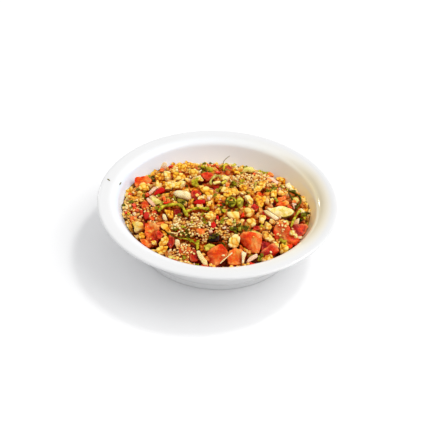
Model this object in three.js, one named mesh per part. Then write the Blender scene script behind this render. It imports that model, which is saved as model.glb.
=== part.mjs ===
// A glazed serving bowl with a broad, gently domed rim, filled with a mound of
// chopped salad. Millimetres, +Z up; the origin is the centre of the foot ring's
// underside, so the bowl stands on the plane z = 0.

import * as THREE from 'three';
import { mergeVertices } from 'three/addons/utils/BufferGeometryUtils.js';

// ---- Driving dimensions, mm -------------------------------------------------

const RIM_RADIUS = 100;        // outermost edge of the broad rim
const RIM_EDGE_Z = 41.5;       // height of that edge
const LIP_RADIUS = 83.8;       // inner edge of the rim, where the well begins
const LIP_Z = 40.6;            // height of the inner edge
const RIM_CROWN = 1.1;         // how far the rim domes above the line lip to edge
const RIM_THICK = 4.2;         // thickness of the rim at its middle
const FOOT_RADIUS = 68;        // outside of the foot ring
const FOOT_HEIGHT = 5.8;       // height of the foot ring up to its crease
const FOOT_LAND = 5;           // width of the flat that touches the table
const BASE_RECESS = 2.6;       // how far the base is hollowed inside the foot
const WELL_FLOOR_Z = 7.2;      // inside bottom of the well
const WELL_FLOOR_RADIUS = 44;  // where the floor starts to curve up
const BOWL_SEGMENTS = 84;      // facets round the bowl

const GAP = 0.35;              // clearance between the salad and the glaze
// height at which the salad meets the wall: right, back right, back, back left,
// left, front left, front, front right
const SALAD_EDGE_Z = [31.5, 25.5, 23.5, 29, 34, 33, 31.5, 32];
const SALAD_EDGE_WAVE = 0.9;   // unevenness of that line
const SALAD_CROWN_Z = 45;      // height of the mound's smooth crown
const SALAD_CROWN_SHIFT = 3;   // the crown sits this far behind the centre
const SALAD_SHOULDER = 2.3;    // above 2 the mound has a flat top and steep sides
const SALAD_RINGS = 20;        // rings of the uneven top surface
const CHUNK_COUNT = 92;        // lumps standing out of the mound
const CHUNK_RADIUS = [5.2, 10.5]; // their half widths
const CHUNK_RISE = [1.8, 4.6]; // how far they stand out
const SALAD_TOP_Z = 49.5;      // highest point of the whole heap

// ---- Small helpers ----------------------------------------------------------

// Repeatable pseudo-random numbers in 0..1.
function makeRandom(seed) {
  let s = seed >>> 0;
  return () => {
    s = (s + 0x6d2b79f5) >>> 0;
    let t = Math.imul(s ^ (s >>> 15), 1 | s);
    t = (t + Math.imul(t ^ (t >>> 7), 61 | t)) ^ t;
    return ((t ^ (t >>> 14)) >>> 0) / 4294967296;
  };
}

const mix = (a, b, t) => a + (b - a) * t;

// Points of a cubic Bezier, without its first point.
function bend(p0, p1, p2, p3, steps) {
  const curve = new THREE.CubicBezierCurve(
    new THREE.Vector2(...p0), new THREE.Vector2(...p1),
    new THREE.Vector2(...p2), new THREE.Vector2(...p3));
  return curve.getPoints(steps).slice(1);
}

// ---- The bowl ---------------------------------------------------------------

// Inside of the well, from the centre of the floor up to just under the lip.
function wellProfile() {
  const floor = new THREE.Vector2(WELL_FLOOR_RADIUS, WELL_FLOOR_Z);
  const top = [LIP_RADIUS - 1.6, LIP_Z - 3.4];
  return [
    new THREE.Vector2(0, WELL_FLOOR_Z - 0.4),
    floor,
    ...bend([floor.x, floor.y], [floor.x + 17, floor.y + 1.2], [top[0] - 9, top[1] - 17], top, 8),
  ];
}

// The closed section of the bowl, turned about the Z axis.
function bowlProfile() {
  const well = wellProfile();
  const wellTop = well[well.length - 1];
  const rimMid = (LIP_RADIUS + RIM_RADIUS) / 2;
  const rimMidZ = (LIP_Z + RIM_EDGE_Z) / 2 + RIM_CROWN;
  const footIn = FOOT_RADIUS - FOOT_LAND;
  const points = [
    new THREE.Vector2(0, BASE_RECESS),
    new THREE.Vector2(footIn - 3.4, BASE_RECESS),
    new THREE.Vector2(footIn - 1.1, 1.1),
    new THREE.Vector2(footIn, 0),
    new THREE.Vector2(FOOT_RADIUS - 0.5, 0),
    new THREE.Vector2(FOOT_RADIUS, 0.6),
    new THREE.Vector2(FOOT_RADIUS + 0.3, FOOT_HEIGHT - 1.1),
    new THREE.Vector2(FOOT_RADIUS - 0.2, FOOT_HEIGHT),
    // the body flares out of the crease and sweeps under the rim
    new THREE.Vector2(FOOT_RADIUS + 1.6, FOOT_HEIGHT + 1.1),
    ...bend([FOOT_RADIUS + 1.6, FOOT_HEIGHT + 1.1], [FOOT_RADIUS + 6.5, FOOT_HEIGHT + 9],
      [FOOT_RADIUS + 10, RIM_EDGE_Z - 12], [rimMid - 4.5, rimMidZ - RIM_THICK - 1.6], 6),
    new THREE.Vector2(rimMid + 2.5, rimMidZ - RIM_THICK),
    // rounded outer edge
    new THREE.Vector2(RIM_RADIUS - 1.6, RIM_EDGE_Z - 1.9),
    new THREE.Vector2(RIM_RADIUS - 0.3, RIM_EDGE_Z - 0.9),
    new THREE.Vector2(RIM_RADIUS, RIM_EDGE_Z),
    new THREE.Vector2(RIM_RADIUS - 0.6, RIM_EDGE_Z + 0.8),
    new THREE.Vector2(RIM_RADIUS - 2.2, RIM_EDGE_Z + 1.2),
    // domed top of the rim
    new THREE.Vector2(rimMid + 2.1, rimMidZ + 0.3),
    // broad, soft roll of the inner lip down into the well
    ...bend([rimMid + 2.1, rimMidZ + 0.3], [LIP_RADIUS + 4.5, LIP_Z + 1.65],
      [LIP_RADIUS, LIP_Z - 0.35], [wellTop.x, wellTop.y], 7),
    ...well.slice(0, -1).reverse(),
  ];
  return points;
}

function makeBowl() {
  const lathe = new THREE.LatheGeometry(bowlProfile(), BOWL_SEGMENTS);
  lathe.rotateX(Math.PI / 2);
  return lathe;
}

// ---- The salad --------------------------------------------------------------

// Radius of the well at height z, between the section's points.
function wellRadius(z, profile) {
  for (let i = 1; i < profile.length; i += 1) {
    if (profile[i].y >= z) {
      const t = (z - profile[i - 1].y) / (profile[i].y - profile[i - 1].y);
      return mix(profile[i - 1].x, profile[i].x, t);
    }
  }
  return profile[profile.length - 1].x;
}

// Height at which the heap meets the wall, for a direction round the bowl.
function edgeHeight(angle) {
  const n = SALAD_EDGE_Z.length;
  const u = ((((angle / (2 * Math.PI)) % 1) + 1) % 1) * n;
  const k = Math.floor(u) % n;
  const t = u - Math.floor(u);
  const base = mix(SALAD_EDGE_Z[k], SALAD_EDGE_Z[(k + 1) % n], t * t * (3 - 2 * t));
  return base + SALAD_EDGE_WAVE * (0.6 * Math.sin(5 * angle + 0.7) + 0.4 * Math.sin(11 * angle + 2.1));
}

// Lumps: rounded blocks and domes scattered evenly over the disc.
function makeChunks() {
  const random = makeRandom(4127);
  const golden = Math.PI * (3 - Math.sqrt(5));
  const chunks = [];
  for (let i = 0; i < CHUNK_COUNT; i += 1) {
    const r = 71 * Math.sqrt((i + 0.5) / CHUNK_COUNT);
    const a = i * golden + 0.5 * (random() - 0.5);
    const half = mix(CHUNK_RADIUS[0], CHUNK_RADIUS[1], random() ** 1.6);
    chunks.push({
      x: r * Math.cos(a) + 3 * (random() - 0.5),
      y: r * Math.sin(a) + 3 * (random() - 0.5),
      turn: random() * Math.PI,
      long: half,
      wide: half * mix(0.55, 0.95, random()),
      rise: mix(CHUNK_RISE[0], CHUNK_RISE[1], random()),
      tiltX: 0.28 * (random() - 0.5),
      tiltY: 0.28 * (random() - 0.5),
      square: random() < 0.55 ? 4 : 2.2,
    });
  }
  return chunks;
}

function chunkRise(x, y, chunks) {
  let best = -1.6;
  for (const c of chunks) {
    const dx = x - c.x;
    const dy = y - c.y;
    const u = (dx * Math.cos(c.turn) + dy * Math.sin(c.turn)) / c.long;
    const v = (-dx * Math.sin(c.turn) + dy * Math.cos(c.turn)) / c.wide;
    const d = Math.abs(u) ** c.square + Math.abs(v) ** c.square;
    if (d < 1) {
      const h = c.rise * (1 - d) ** 0.5 + c.tiltX * dx + c.tiltY * dy - 1.2;
      best = Math.max(best, h);
    }
  }
  return best;
}

// Two rings of vertices, each with its angles rising from 0, joined by triangles.
function stitch(index, inner, outer) {
  const n = inner.length;
  const m = outer.length;
  let i = 0;
  let j = 0;
  while (i < n || j < m) {
    const nextIn = (i + 1) / n;
    const nextOut = (j + 1) / m;
    if (j >= m || (i < n && nextIn < nextOut)) {
      index.push(inner[i % n], outer[j % m], inner[(i + 1) % n]);
      i += 1;
    } else {
      index.push(inner[i % n], outer[j % m], outer[(j + 1) % m]);
      j += 1;
    }
  }
}

function makeSalad() {
  const well = wellProfile();
  // the well's section moved in from the glaze by the clearance
  const inset = well.map((p, i) => {
    const a = well[Math.max(0, i - 1)];
    const b = well[Math.min(well.length - 1, i + 1)];
    const t = new THREE.Vector2().subVectors(b, a).normalize();
    return new THREE.Vector2(Math.max(0, p.x - t.y * GAP), p.y + t.x * GAP);
  });
  const chunks = makeChunks();
  const positions = [];
  const index = [];
  const addPoint = (x, y, z) => {
    positions.push(x, y, z);
    return positions.length / 3 - 1;
  };
  const edgeRadius = (angle) => wellRadius(edgeHeight(angle), inset);

  // top: a centre point and rings of 6, 12, 18 ... points
  const topPoint = (t, angle) => {
    const edge = edgeRadius(angle);
    const x = t * edge * Math.cos(angle);
    const y = t * edge * Math.sin(angle);
    const s = Math.min(1, Math.hypot(x, y - SALAD_CROWN_SHIFT * (1 - t)) / edge);
    const mound = mix(SALAD_CROWN_Z, edgeHeight(angle), Math.max(t ** 3, s ** SALAD_SHOULDER));
    const fade = t > 0.999 ? 0 : Math.min(1, (1 - t) * 7);
    const z = Math.min(SALAD_TOP_Z, mound + chunkRise(x, y, chunks) * fade);
    return [x, y, z];
  };
  const centre = addPoint(...topPoint(0, 0));
  let previous = null;
  for (let ring = 1; ring <= SALAD_RINGS; ring += 1) {
    const count = 6 * ring;
    const current = [];
    for (let k = 0; k < count; k += 1) {
      const angle = (2 * Math.PI * k) / count;
      current.push(addPoint(...topPoint(ring / SALAD_RINGS, angle)));
    }
    if (previous) {
      stitch(index, previous, current);
    } else {
      for (let k = 0; k < count; k += 1) index.push(centre, current[k], current[(k + 1) % count]);
    }
    previous = current;
  }

  // underside: down the wall and across the floor, following the well
  const edgeCount = previous.length;
  const steps = inset.slice(1, -1).reverse();
  const lowest = Math.min(...previous.map((k) => positions[3 * k + 2]));
  for (const p of steps) {
    if (p.y > lowest - 1.2) continue;
    const count = Math.max(24, Math.round((edgeCount * p.x) / (RIM_RADIUS * 6)) * 6);
    const current = [];
    for (let k = 0; k < count; k += 1) {
      const angle = (2 * Math.PI * k) / count;
      current.push(addPoint(p.x * Math.cos(angle), p.x * Math.sin(angle), p.y));
    }
    // the faces look down and outward here, so the rings are stitched in reverse
    const part = [];
    stitch(part, current, previous);
    for (let k = 0; k < part.length; k += 3) index.push(part[k], part[k + 2], part[k + 1]);
    previous = current;
  }
  const bottom = addPoint(0, 0, inset[0].y + 0.3);
  for (let k = 0; k < previous.length; k += 1) {
    index.push(bottom, previous[(k + 1) % previous.length], previous[k]);
  }

  const geometry = new THREE.BufferGeometry();
  geometry.setAttribute('position', new THREE.Float32BufferAttribute(positions, 3));
  geometry.setIndex(index);
  const merged = mergeVertices(geometry, 1e-5);
  merged.computeVertexNormals();
  return merged;
}

// ---- The object -------------------------------------------------------------

const salad = new THREE.Group();

const bowl = new THREE.Mesh(
  makeBowl(),
  new THREE.MeshStandardMaterial({ color: 0xf4f2ee, roughness: 0.16, metalness: 0 }));
bowl.name = 'bowl';
salad.add(bowl);

const heap = new THREE.Mesh(
  makeSalad(),
  new THREE.MeshStandardMaterial({ color: 0xd08a45, roughness: 0.5, metalness: 0 }));
heap.name = 'salad_heap';
salad.add(heap);

export default salad;
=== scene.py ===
import math

import bpy
import numpy as np
from mathutils import Matrix


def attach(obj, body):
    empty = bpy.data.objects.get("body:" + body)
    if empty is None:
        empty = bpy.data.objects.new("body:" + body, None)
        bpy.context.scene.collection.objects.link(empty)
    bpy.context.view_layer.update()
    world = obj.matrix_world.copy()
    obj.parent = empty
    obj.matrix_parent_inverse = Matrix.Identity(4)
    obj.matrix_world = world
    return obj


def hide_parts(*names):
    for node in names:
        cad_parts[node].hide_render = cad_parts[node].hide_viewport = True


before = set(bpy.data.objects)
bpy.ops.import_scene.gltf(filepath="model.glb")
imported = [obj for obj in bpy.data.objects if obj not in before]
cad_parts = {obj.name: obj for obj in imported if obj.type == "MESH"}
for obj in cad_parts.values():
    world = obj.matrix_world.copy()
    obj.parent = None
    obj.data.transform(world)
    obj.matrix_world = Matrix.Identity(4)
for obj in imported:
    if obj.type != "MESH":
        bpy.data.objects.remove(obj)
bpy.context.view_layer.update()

# Everything is worked out in millimetres, +Z up, and written to the meshes in metres.

# ---------------------------------------------------------------- camera facts
ELEVATION = math.radians(39.046)
ROLL = math.radians(2.592)
FOCAL_PX = 927.58            # for a square picture 438 pixels wide
DISTANCE = 800.0
OFFSET_X, OFFSET_Y = -1.850, -14.556   # of the foot's centre from the optical axis
RIGHT = np.array([1.0, 0.0, 0.0])
UP = np.array([0.0, math.sin(ELEVATION), math.cos(ELEVATION)])
AHEAD = np.array([0.0, math.cos(ELEVATION), -math.sin(ELEVATION)])
EYE = -OFFSET_X * RIGHT - OFFSET_Y * UP - DISTANCE * AHEAD

# ---------------------------------------------------------------- CAD sizes, mm
RIM_RADIUS, RIM_EDGE_Z = 100.0, 41.5
LIP_RADIUS, LIP_Z = 83.8, 40.6
RIM_CROWN, RIM_THICK = 1.1, 4.2
FOOT_RADIUS, FOOT_HEIGHT, FOOT_LAND, BASE_RECESS = 68.0, 5.8, 5.0, 2.6
WELL_FLOOR_Z, WELL_FLOOR_RADIUS = 7.2, 44.0
SALAD_EDGE_Z = [31.5, 25.5, 23.5, 29, 34, 33, 31.5, 32]
SALAD_EDGE_WAVE = 0.9
SALAD_CROWN_Z, SALAD_CROWN_SHIFT, SALAD_SHOULDER = 45.0, 3.0, 2.3
TOP_LIMIT = 47.9             # nothing of the salad stands higher

rng = np.random.default_rng(20611)


# ================================================================ small helpers
def bezier(p0, p1, p2, p3, steps):
    t = np.linspace(0, 1, steps + 1)[1:, None]
    p0, p1, p2, p3 = (np.array(p, float) for p in (p0, p1, p2, p3))
    return (1 - t) ** 3 * p0 + 3 * (1 - t) ** 2 * t * p1 + 3 * (1 - t) * t ** 2 * p2 + t ** 3 * p3


class Waves:
    """Smooth random field: a sum of sine waves in random directions, about -1.5 to 1.5."""

    def __init__(self, seed, wavelength, count=9, spread=0.35):
        r = np.random.default_rng(seed)
        k = r.normal(size=(count, 3))
        k /= np.linalg.norm(k, axis=1, keepdims=True)
        self.k = k * (2 * math.pi / wavelength) * r.uniform(1 - spread, 1 + spread, (count, 1))
        self.phase = r.uniform(0, 2 * math.pi, count)

    def __call__(self, p):
        return np.sin(p @ self.k.T + self.phase).sum(1) / math.sqrt(len(self.phase) / 2)


def smooth(t):
    t = np.clip(t, 0, 1)
    return t * t * (3 - 2 * t)


def unit(v):
    v = np.asarray(v, float)
    return v / (np.linalg.norm(v) + 1e-12)


# ================================================================ the heap's surface
WELL = np.vstack([[[0, WELL_FLOOR_Z - 0.4], [WELL_FLOOR_RADIUS, WELL_FLOOR_Z]],
                  bezier((WELL_FLOOR_RADIUS, WELL_FLOOR_Z), (WELL_FLOOR_RADIUS + 17, WELL_FLOOR_Z + 1.2),
                         (LIP_RADIUS - 1.6 - 9, LIP_Z - 3.4 - 17), (LIP_RADIUS - 1.6, LIP_Z - 3.4), 8)])


# the broad roll from the top of the rim down to the well
LIP_ROLL = bezier((94.0, 42.45), (LIP_RADIUS + 4.5, LIP_Z + 1.65), (LIP_RADIUS, LIP_Z - 0.35), (LIP_RADIUS - 1.6, LIP_Z - 3.4), 14)


def well_radius(z):
    return np.interp(z, WELL[:, 1], WELL[:, 0])


def wall_height(r):
    """Height of the glaze at radius r, inside the lip."""
    inner = LIP_ROLL[::-1][1:]
    return np.interp(r, np.concatenate([WELL[:, 0], inner[:, 0], [94.0, 97.8, 100.0]]),
                     np.concatenate([WELL[:, 1], inner[:, 1], [42.45, 42.7, RIM_EDGE_Z]]))


def edge_height(angle):
    n = len(SALAD_EDGE_Z)
    u = (angle / (2 * math.pi)) % 1.0 * n
    k = np.floor(u).astype(int) % n
    t = smooth(u - np.floor(u))
    z = np.array(SALAD_EDGE_Z)
    return (z[k] * (1 - t) + z[(k + 1) % n] * t
            + SALAD_EDGE_WAVE * (0.6 * np.sin(5 * angle + 0.7) + 0.4 * np.sin(11 * angle + 2.1)))


def mound(x, y):
    """The heap's mean surface, and how far out the point lies (1 at the wall)."""
    x, y = np.asarray(x, float), np.asarray(y, float)
    angle = np.arctan2(y, x)
    ez = edge_height(angle)
    er = well_radius(ez) - 0.4
    t = np.hypot(x, y) / er
    s = np.minimum(1, np.hypot(x, y - SALAD_CROWN_SHIFT * np.clip(1 - t, 0, 1)) / er)
    w = np.maximum(np.clip(t, 0, 1) ** 3, s ** SALAD_SHOULDER)
    return SALAD_CROWN_Z * (1 - w) + ez * w, t


def cast(px, py, lift=0.0):
    """The point of the heap's mean surface, raised by lift, seen at a pixel of the picture."""
    dx, dy = px - 219.0, py - 219.0
    x = math.cos(ROLL) * dx + math.sin(ROLL) * dy
    y = -math.sin(ROLL) * dx + math.cos(ROLL) * dy
    # pixel centres lie half a pixel from the picture's own corner frame
    d = AHEAD * FOCAL_PX + RIGHT * (x + 0.5) - UP * (y + 0.5)
    z = np.linspace(62, 12, 401)
    s = (z - EYE[2]) / d[2]
    p = EYE + s[:, None] * d
    h, t = mound(p[:, 0], p[:, 1])
    gap = p[:, 2] - (h + lift)
    hit = np.where(gap <= 0)[0]
    k = hit[0] if len(hit) else 200
    if k == 0:
        return p[0]
    f = gap[k - 1] / (gap[k - 1] - gap[k] + 1e-9)
    return p[k - 1] * (1 - f) + p[k] * f


def pixel_of(x, y, z):
    """Picture coordinates of points."""
    p = np.stack([x, y, z], -1) - EYE
    w = p @ AHEAD
    u, v = FOCAL_PX * (p @ RIGHT) / w - 0.5, -FOCAL_PX * (p @ UP) / w - 0.5
    return (219 + math.cos(ROLL) * u - math.sin(ROLL) * v, 219 + math.sin(ROLL) * u + math.cos(ROLL) * v)


# ================================================================ base shapes
_geodesic = {}


def ball(f):
    """Geodesic sphere of frequency f: unit vectors and 20 f*f triangles."""
    if f in _geodesic:
        return _geodesic[f]
    g = (1 + 5 ** 0.5) / 2
    v = np.array([(-1, g, 0), (1, g, 0), (-1, -g, 0), (1, -g, 0), (0, -1, g), (0, 1, g), (0, -1, -g), (0, 1, -g),
                  (g, 0, -1), (g, 0, 1), (-g, 0, -1), (-g, 0, 1)], float)
    t = [(0, 11, 5), (0, 5, 1), (0, 1, 7), (0, 7, 10), (0, 10, 11), (1, 5, 9), (5, 11, 4), (11, 10, 2), (10, 7, 6),
         (7, 1, 8), (3, 9, 4), (3, 4, 2), (3, 2, 6), (3, 6, 8), (3, 8, 9), (4, 9, 5), (2, 4, 11), (6, 2, 10),
         (8, 6, 7), (9, 8, 1)]
    pts, tris = [], []
    for a, b, c in t:
        base = len(pts)
        row = {}
        for i in range(f + 1):
            for j in range(f + 1 - i):
                row[i, j] = base + len(row)
                pts.append((v[a] * (f - i - j) + v[b] * i + v[c] * j) / f)
        for i in range(f):
            for j in range(f - i):
                tris.append((row[i, j], row[i + 1, j], row[i, j + 1]))
                if i + j < f - 1:
                    tris.append((row[i + 1, j], row[i + 1, j + 1], row[i, j + 1]))
    pts = np.array(pts)
    _, first, back = np.unique(np.round(pts, 5), axis=0, return_index=True, return_inverse=True)
    pts = pts[first]
    pts /= np.linalg.norm(pts, axis=1, keepdims=True)
    tris = back.ravel()[np.array(tris)]
    _geodesic[f] = pts, tris
    return _geodesic[f]


_boxes = {}


def box_grid(nx, ny, nz):
    """Surface of a box as whole-number grid points and outward quads."""
    key = (nx, ny, nz)
    if key in _boxes:
        return _boxes[key]
    n = (nx, ny, nz)
    pts, quads = [], []
    for axis in range(3):
        b, c = (axis + 1) % 3, (axis + 2) % 3
        for side in (0, 1):
            base = len(pts)
            for i in range(n[b] + 1):
                for j in range(n[c] + 1):
                    p = [0, 0, 0]
                    p[axis], p[b], p[c] = side * n[axis], i, j
                    pts.append(p)
            w = n[c] + 1
            for i in range(n[b]):
                for j in range(n[c]):
                    q = [base + i * w + j, base + (i + 1) * w + j, base + (i + 1) * w + j + 1, base + i * w + j + 1]
                    quads.append(q if side else q[::-1])
    uniq, back = np.unique(np.array(pts), axis=0, return_inverse=True)
    _boxes[key] = uniq.astype(float), back.ravel()[np.array(quads)]
    return _boxes[key]


def rounded_box(lx, ly, lz, r, step):
    """Box of full sizes lx, ly, lz with edges rounded by r. Returns points, quads and -1..1 coordinates."""
    size = np.array([lx, ly, lz], float)
    n = [max(2, int(round(s / step))) for s in size]
    grid, quads = box_grid(*n)
    q = grid / np.array(n) * 2 - 1
    half = size / 2
    r = min(r, half.min() * 0.98)
    p = q * half
    inner = np.clip(p, -(half - r), half - r)
    d = p - inner
    length = np.linalg.norm(d, axis=1, keepdims=True)
    # grid points near the edges are moved onto the rounding
    p = inner + d / np.maximum(length, 1e-9) * r
    return p, quads, q


def bend_x(p, radius):
    """Curls the X axis down round the Y axis."""
    a = p[:, 0] / radius
    return np.stack([(radius + p[:, 2]) * np.sin(a), p[:, 1], (radius + p[:, 2]) * np.cos(a) - radius], 1)


def bend_y(p, radius):
    a = p[:, 1] / radius
    return np.stack([p[:, 0], (radius + p[:, 2]) * np.sin(a), (radius + p[:, 2]) * np.cos(a) - radius], 1)


def bend_flat(p, radius):
    """Curls the X axis sideways, in the XY plane."""
    a = p[:, 0] / radius
    return np.stack([(radius + p[:, 1]) * np.sin(a), (radius + p[:, 1]) * np.cos(a) - radius, p[:, 2]], 1)


def facets(dirs, count, spread, power, seed):
    """Radius of a rounded random polyhedron in each direction."""
    r = np.random.default_rng(seed)
    n = r.normal(size=(count, 3))
    n = np.vstack([n / np.linalg.norm(n, axis=1, keepdims=True), np.eye(3), -np.eye(3)])
    d = r.uniform(1 - spread, 1, len(n))
    c = np.maximum(dirs @ n.T, 0) / d
    return (c ** power).sum(1) ** (-1 / power)


# ================================================================ the chopped things
# Each maker returns points, faces and a 0..1 mask, centred near its middle, lying flat: X is its length,
# Z its thickness.
def lobes(p, size, g):
    """Long rounded lobes with creases between them: how far each point rises (0 to -1), and a mask."""
    w = p + 0.22 * size * np.sin(p[:, [1, 2, 0]] * (2.1 / size) + g.uniform(0, 6.3, 3))
    e = p.max(0) - p.min(0)
    count = int(np.clip(math.pi / 3 * (e[0] * e[1] + e[0] * e[2] + e[1] * e[2]) / (1.35 * size * size), 4, 18))
    near = np.full(len(p), 1e9)
    jitter = g.uniform(0.7, 1, len(p))
    k = int(g.integers(len(p)))
    far = []
    for _ in range(count):
        v = w - w[k]
        along = v @ unit(g.normal(size=3))
        dist = np.sqrt(np.maximum((v ** 2).sum(1) - 0.55 * along ** 2, 0)) * g.uniform(0.9, 1.15)
        far.append(dist)
        near = np.minimum(near, dist)
        k = int(np.argmax(near * jitter))
    far = np.array(far)
    own = far.argmin(0)
    two = np.partition(far, 1, axis=0)[:2]
    crease = smooth((two[1] - two[0]) / (0.42 * size))
    dome = np.clip(1 - (two[0] / (0.9 * size)) ** 2, 0, 1)
    lift = g.uniform(-1, 1, count)[own]
    # the mask is low in the creases and high on each lobe's dome: painted shade in the creases, painted highlight on
    # the domes; lift adds a random tone to each lobe
    return 0.50 * crease + 0.26 * dome + 0.26 * lift * crease - 0.62, np.clip(0.14 + 0.40 * crease + 0.28 * dome + 0.30 * lift, 0, 1)


def lump(outline, thick, f, seed, lobe=5.0, depth=0.15, cuts=3, plump=0.8):
    """A broken piece of kernel: rounded lobes between narrow creases, with a few flat breaks.

    outline gives the radius at 72 angles round the middle. The mask is low in the creases."""
    g = np.random.default_rng(seed)
    d, tris = ball(f)
    a = np.arctan2(d[:, 1], d[:, 0]) / (2 * math.pi) * 72 % 72
    ring = np.append(outline, outline[0])
    radius = np.interp(a, np.arange(73), ring)
    flat = np.hypot(d[:, 0], d[:, 1])
    mean = float(outline.mean())
    p = np.stack([d[:, 0] / np.maximum(flat, 1e-6) * radius * flat ** plump,
                  d[:, 1] / np.maximum(flat, 1e-6) * radius * flat ** plump,
                  np.sign(d[:, 2]) * np.abs(d[:, 2]) ** 0.85 * thick / 2], 1)
    size = (2 * mean + thick / 2) / 2.5
    block = facets(d, 7, 0.40, 12, seed + 5)
    p = p * (block / block.mean())[:, None]
    rise, mask = lobes(p, lobe, g)
    p = p + d * (depth * size * 1.45 * rise + 0.02 * size * Waves(seed + 3, lobe * 0.9, 7)(p))[:, None]
    for _ in range(cuts):
        n = unit(g.normal(size=3) * np.array([1, 1, 0.7]))
        q = p @ n
        c = q.max() * g.uniform(0.48, 0.8)
        over = np.maximum(q - c, 0)
        rough = 0.05 * size * Waves(seed + 9, 2.2, 5)(p)
        p = p - n * (over * 0.93)[:, None] + n * (rough * (over > 0))[:, None]
        mask = np.where(over > 0, np.clip(mask * 0.5 + 0.48, 0, 1), mask)
    return p, tris, mask


def loose_outline(lx, ly, seed, uneven=0.3):
    a = np.arange(72) / 72 * 2 * math.pi
    g = np.random.default_rng(seed)
    r = 1 / np.sqrt((np.cos(a) / (lx / 2)) ** 2 + (np.sin(a) / (ly / 2)) ** 2)
    for k in range(2, 7):
        r = r * (1 + uneven / k ** 0.6 * math.sin(g.uniform(0, 6.3)) * np.sin(k * a + g.uniform(0, 6.3)))
    return np.clip(r, 0.3 * ly, 0.62 * lx)


def make_walnut(lx, ly, lz, f, seed, lobe=5.0, depth=0.15, arch=0.0, cuts=3):
    p, tris, mask = lump(loose_outline(lx, ly, seed), lz, f, seed, lobe, depth, cuts)
    if arch:
        p = bend_x(p, arch)
    return p, tris, mask


def even_outline(poly, spacing, cuts=(0.16, 0.25)):
    """Corners cut a little, then points at even distances along the closed outline."""
    q = np.asarray(poly, float)
    area = 0.5 * np.sum(q[:, 0] * np.roll(q[:, 1], -1) - np.roll(q[:, 0], -1) * q[:, 1])
    if area < 0:
        q = q[::-1]
    for cut in cuts:
        nxt = np.roll(q, -1, 0)
        q = np.stack([(1 - cut) * q + cut * nxt, cut * q + (1 - cut) * nxt], 1).reshape(-1, 2)
    seg = np.linalg.norm(np.roll(q, -1, 0) - q, axis=1)
    s_ = np.concatenate([[0], np.cumsum(seg)])
    n = max(16, int(s_[-1] / spacing))
    t = np.arange(n) / n * s_[-1]
    closed = np.vstack([q, q[:1]])
    return np.stack([np.interp(t, s_, closed[:, 0]), np.interp(t, s_, closed[:, 1])], 1)


def polar_outline(poly):
    """Radius at 72 angles round the origin."""
    q = even_outline(poly, 0.4)
    a = np.arctan2(q[:, 1], q[:, 0])
    order = np.argsort(a)
    a, r = a[order], np.hypot(q[order, 0], q[order, 1])
    t = np.arange(72) / 72 * 2 * math.pi
    t = np.where(t > math.pi, t - 2 * math.pi, t)
    return np.interp(t, np.concatenate([a - 2 * math.pi, a, a + 2 * math.pi]), np.concatenate([r, r, r]))


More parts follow.
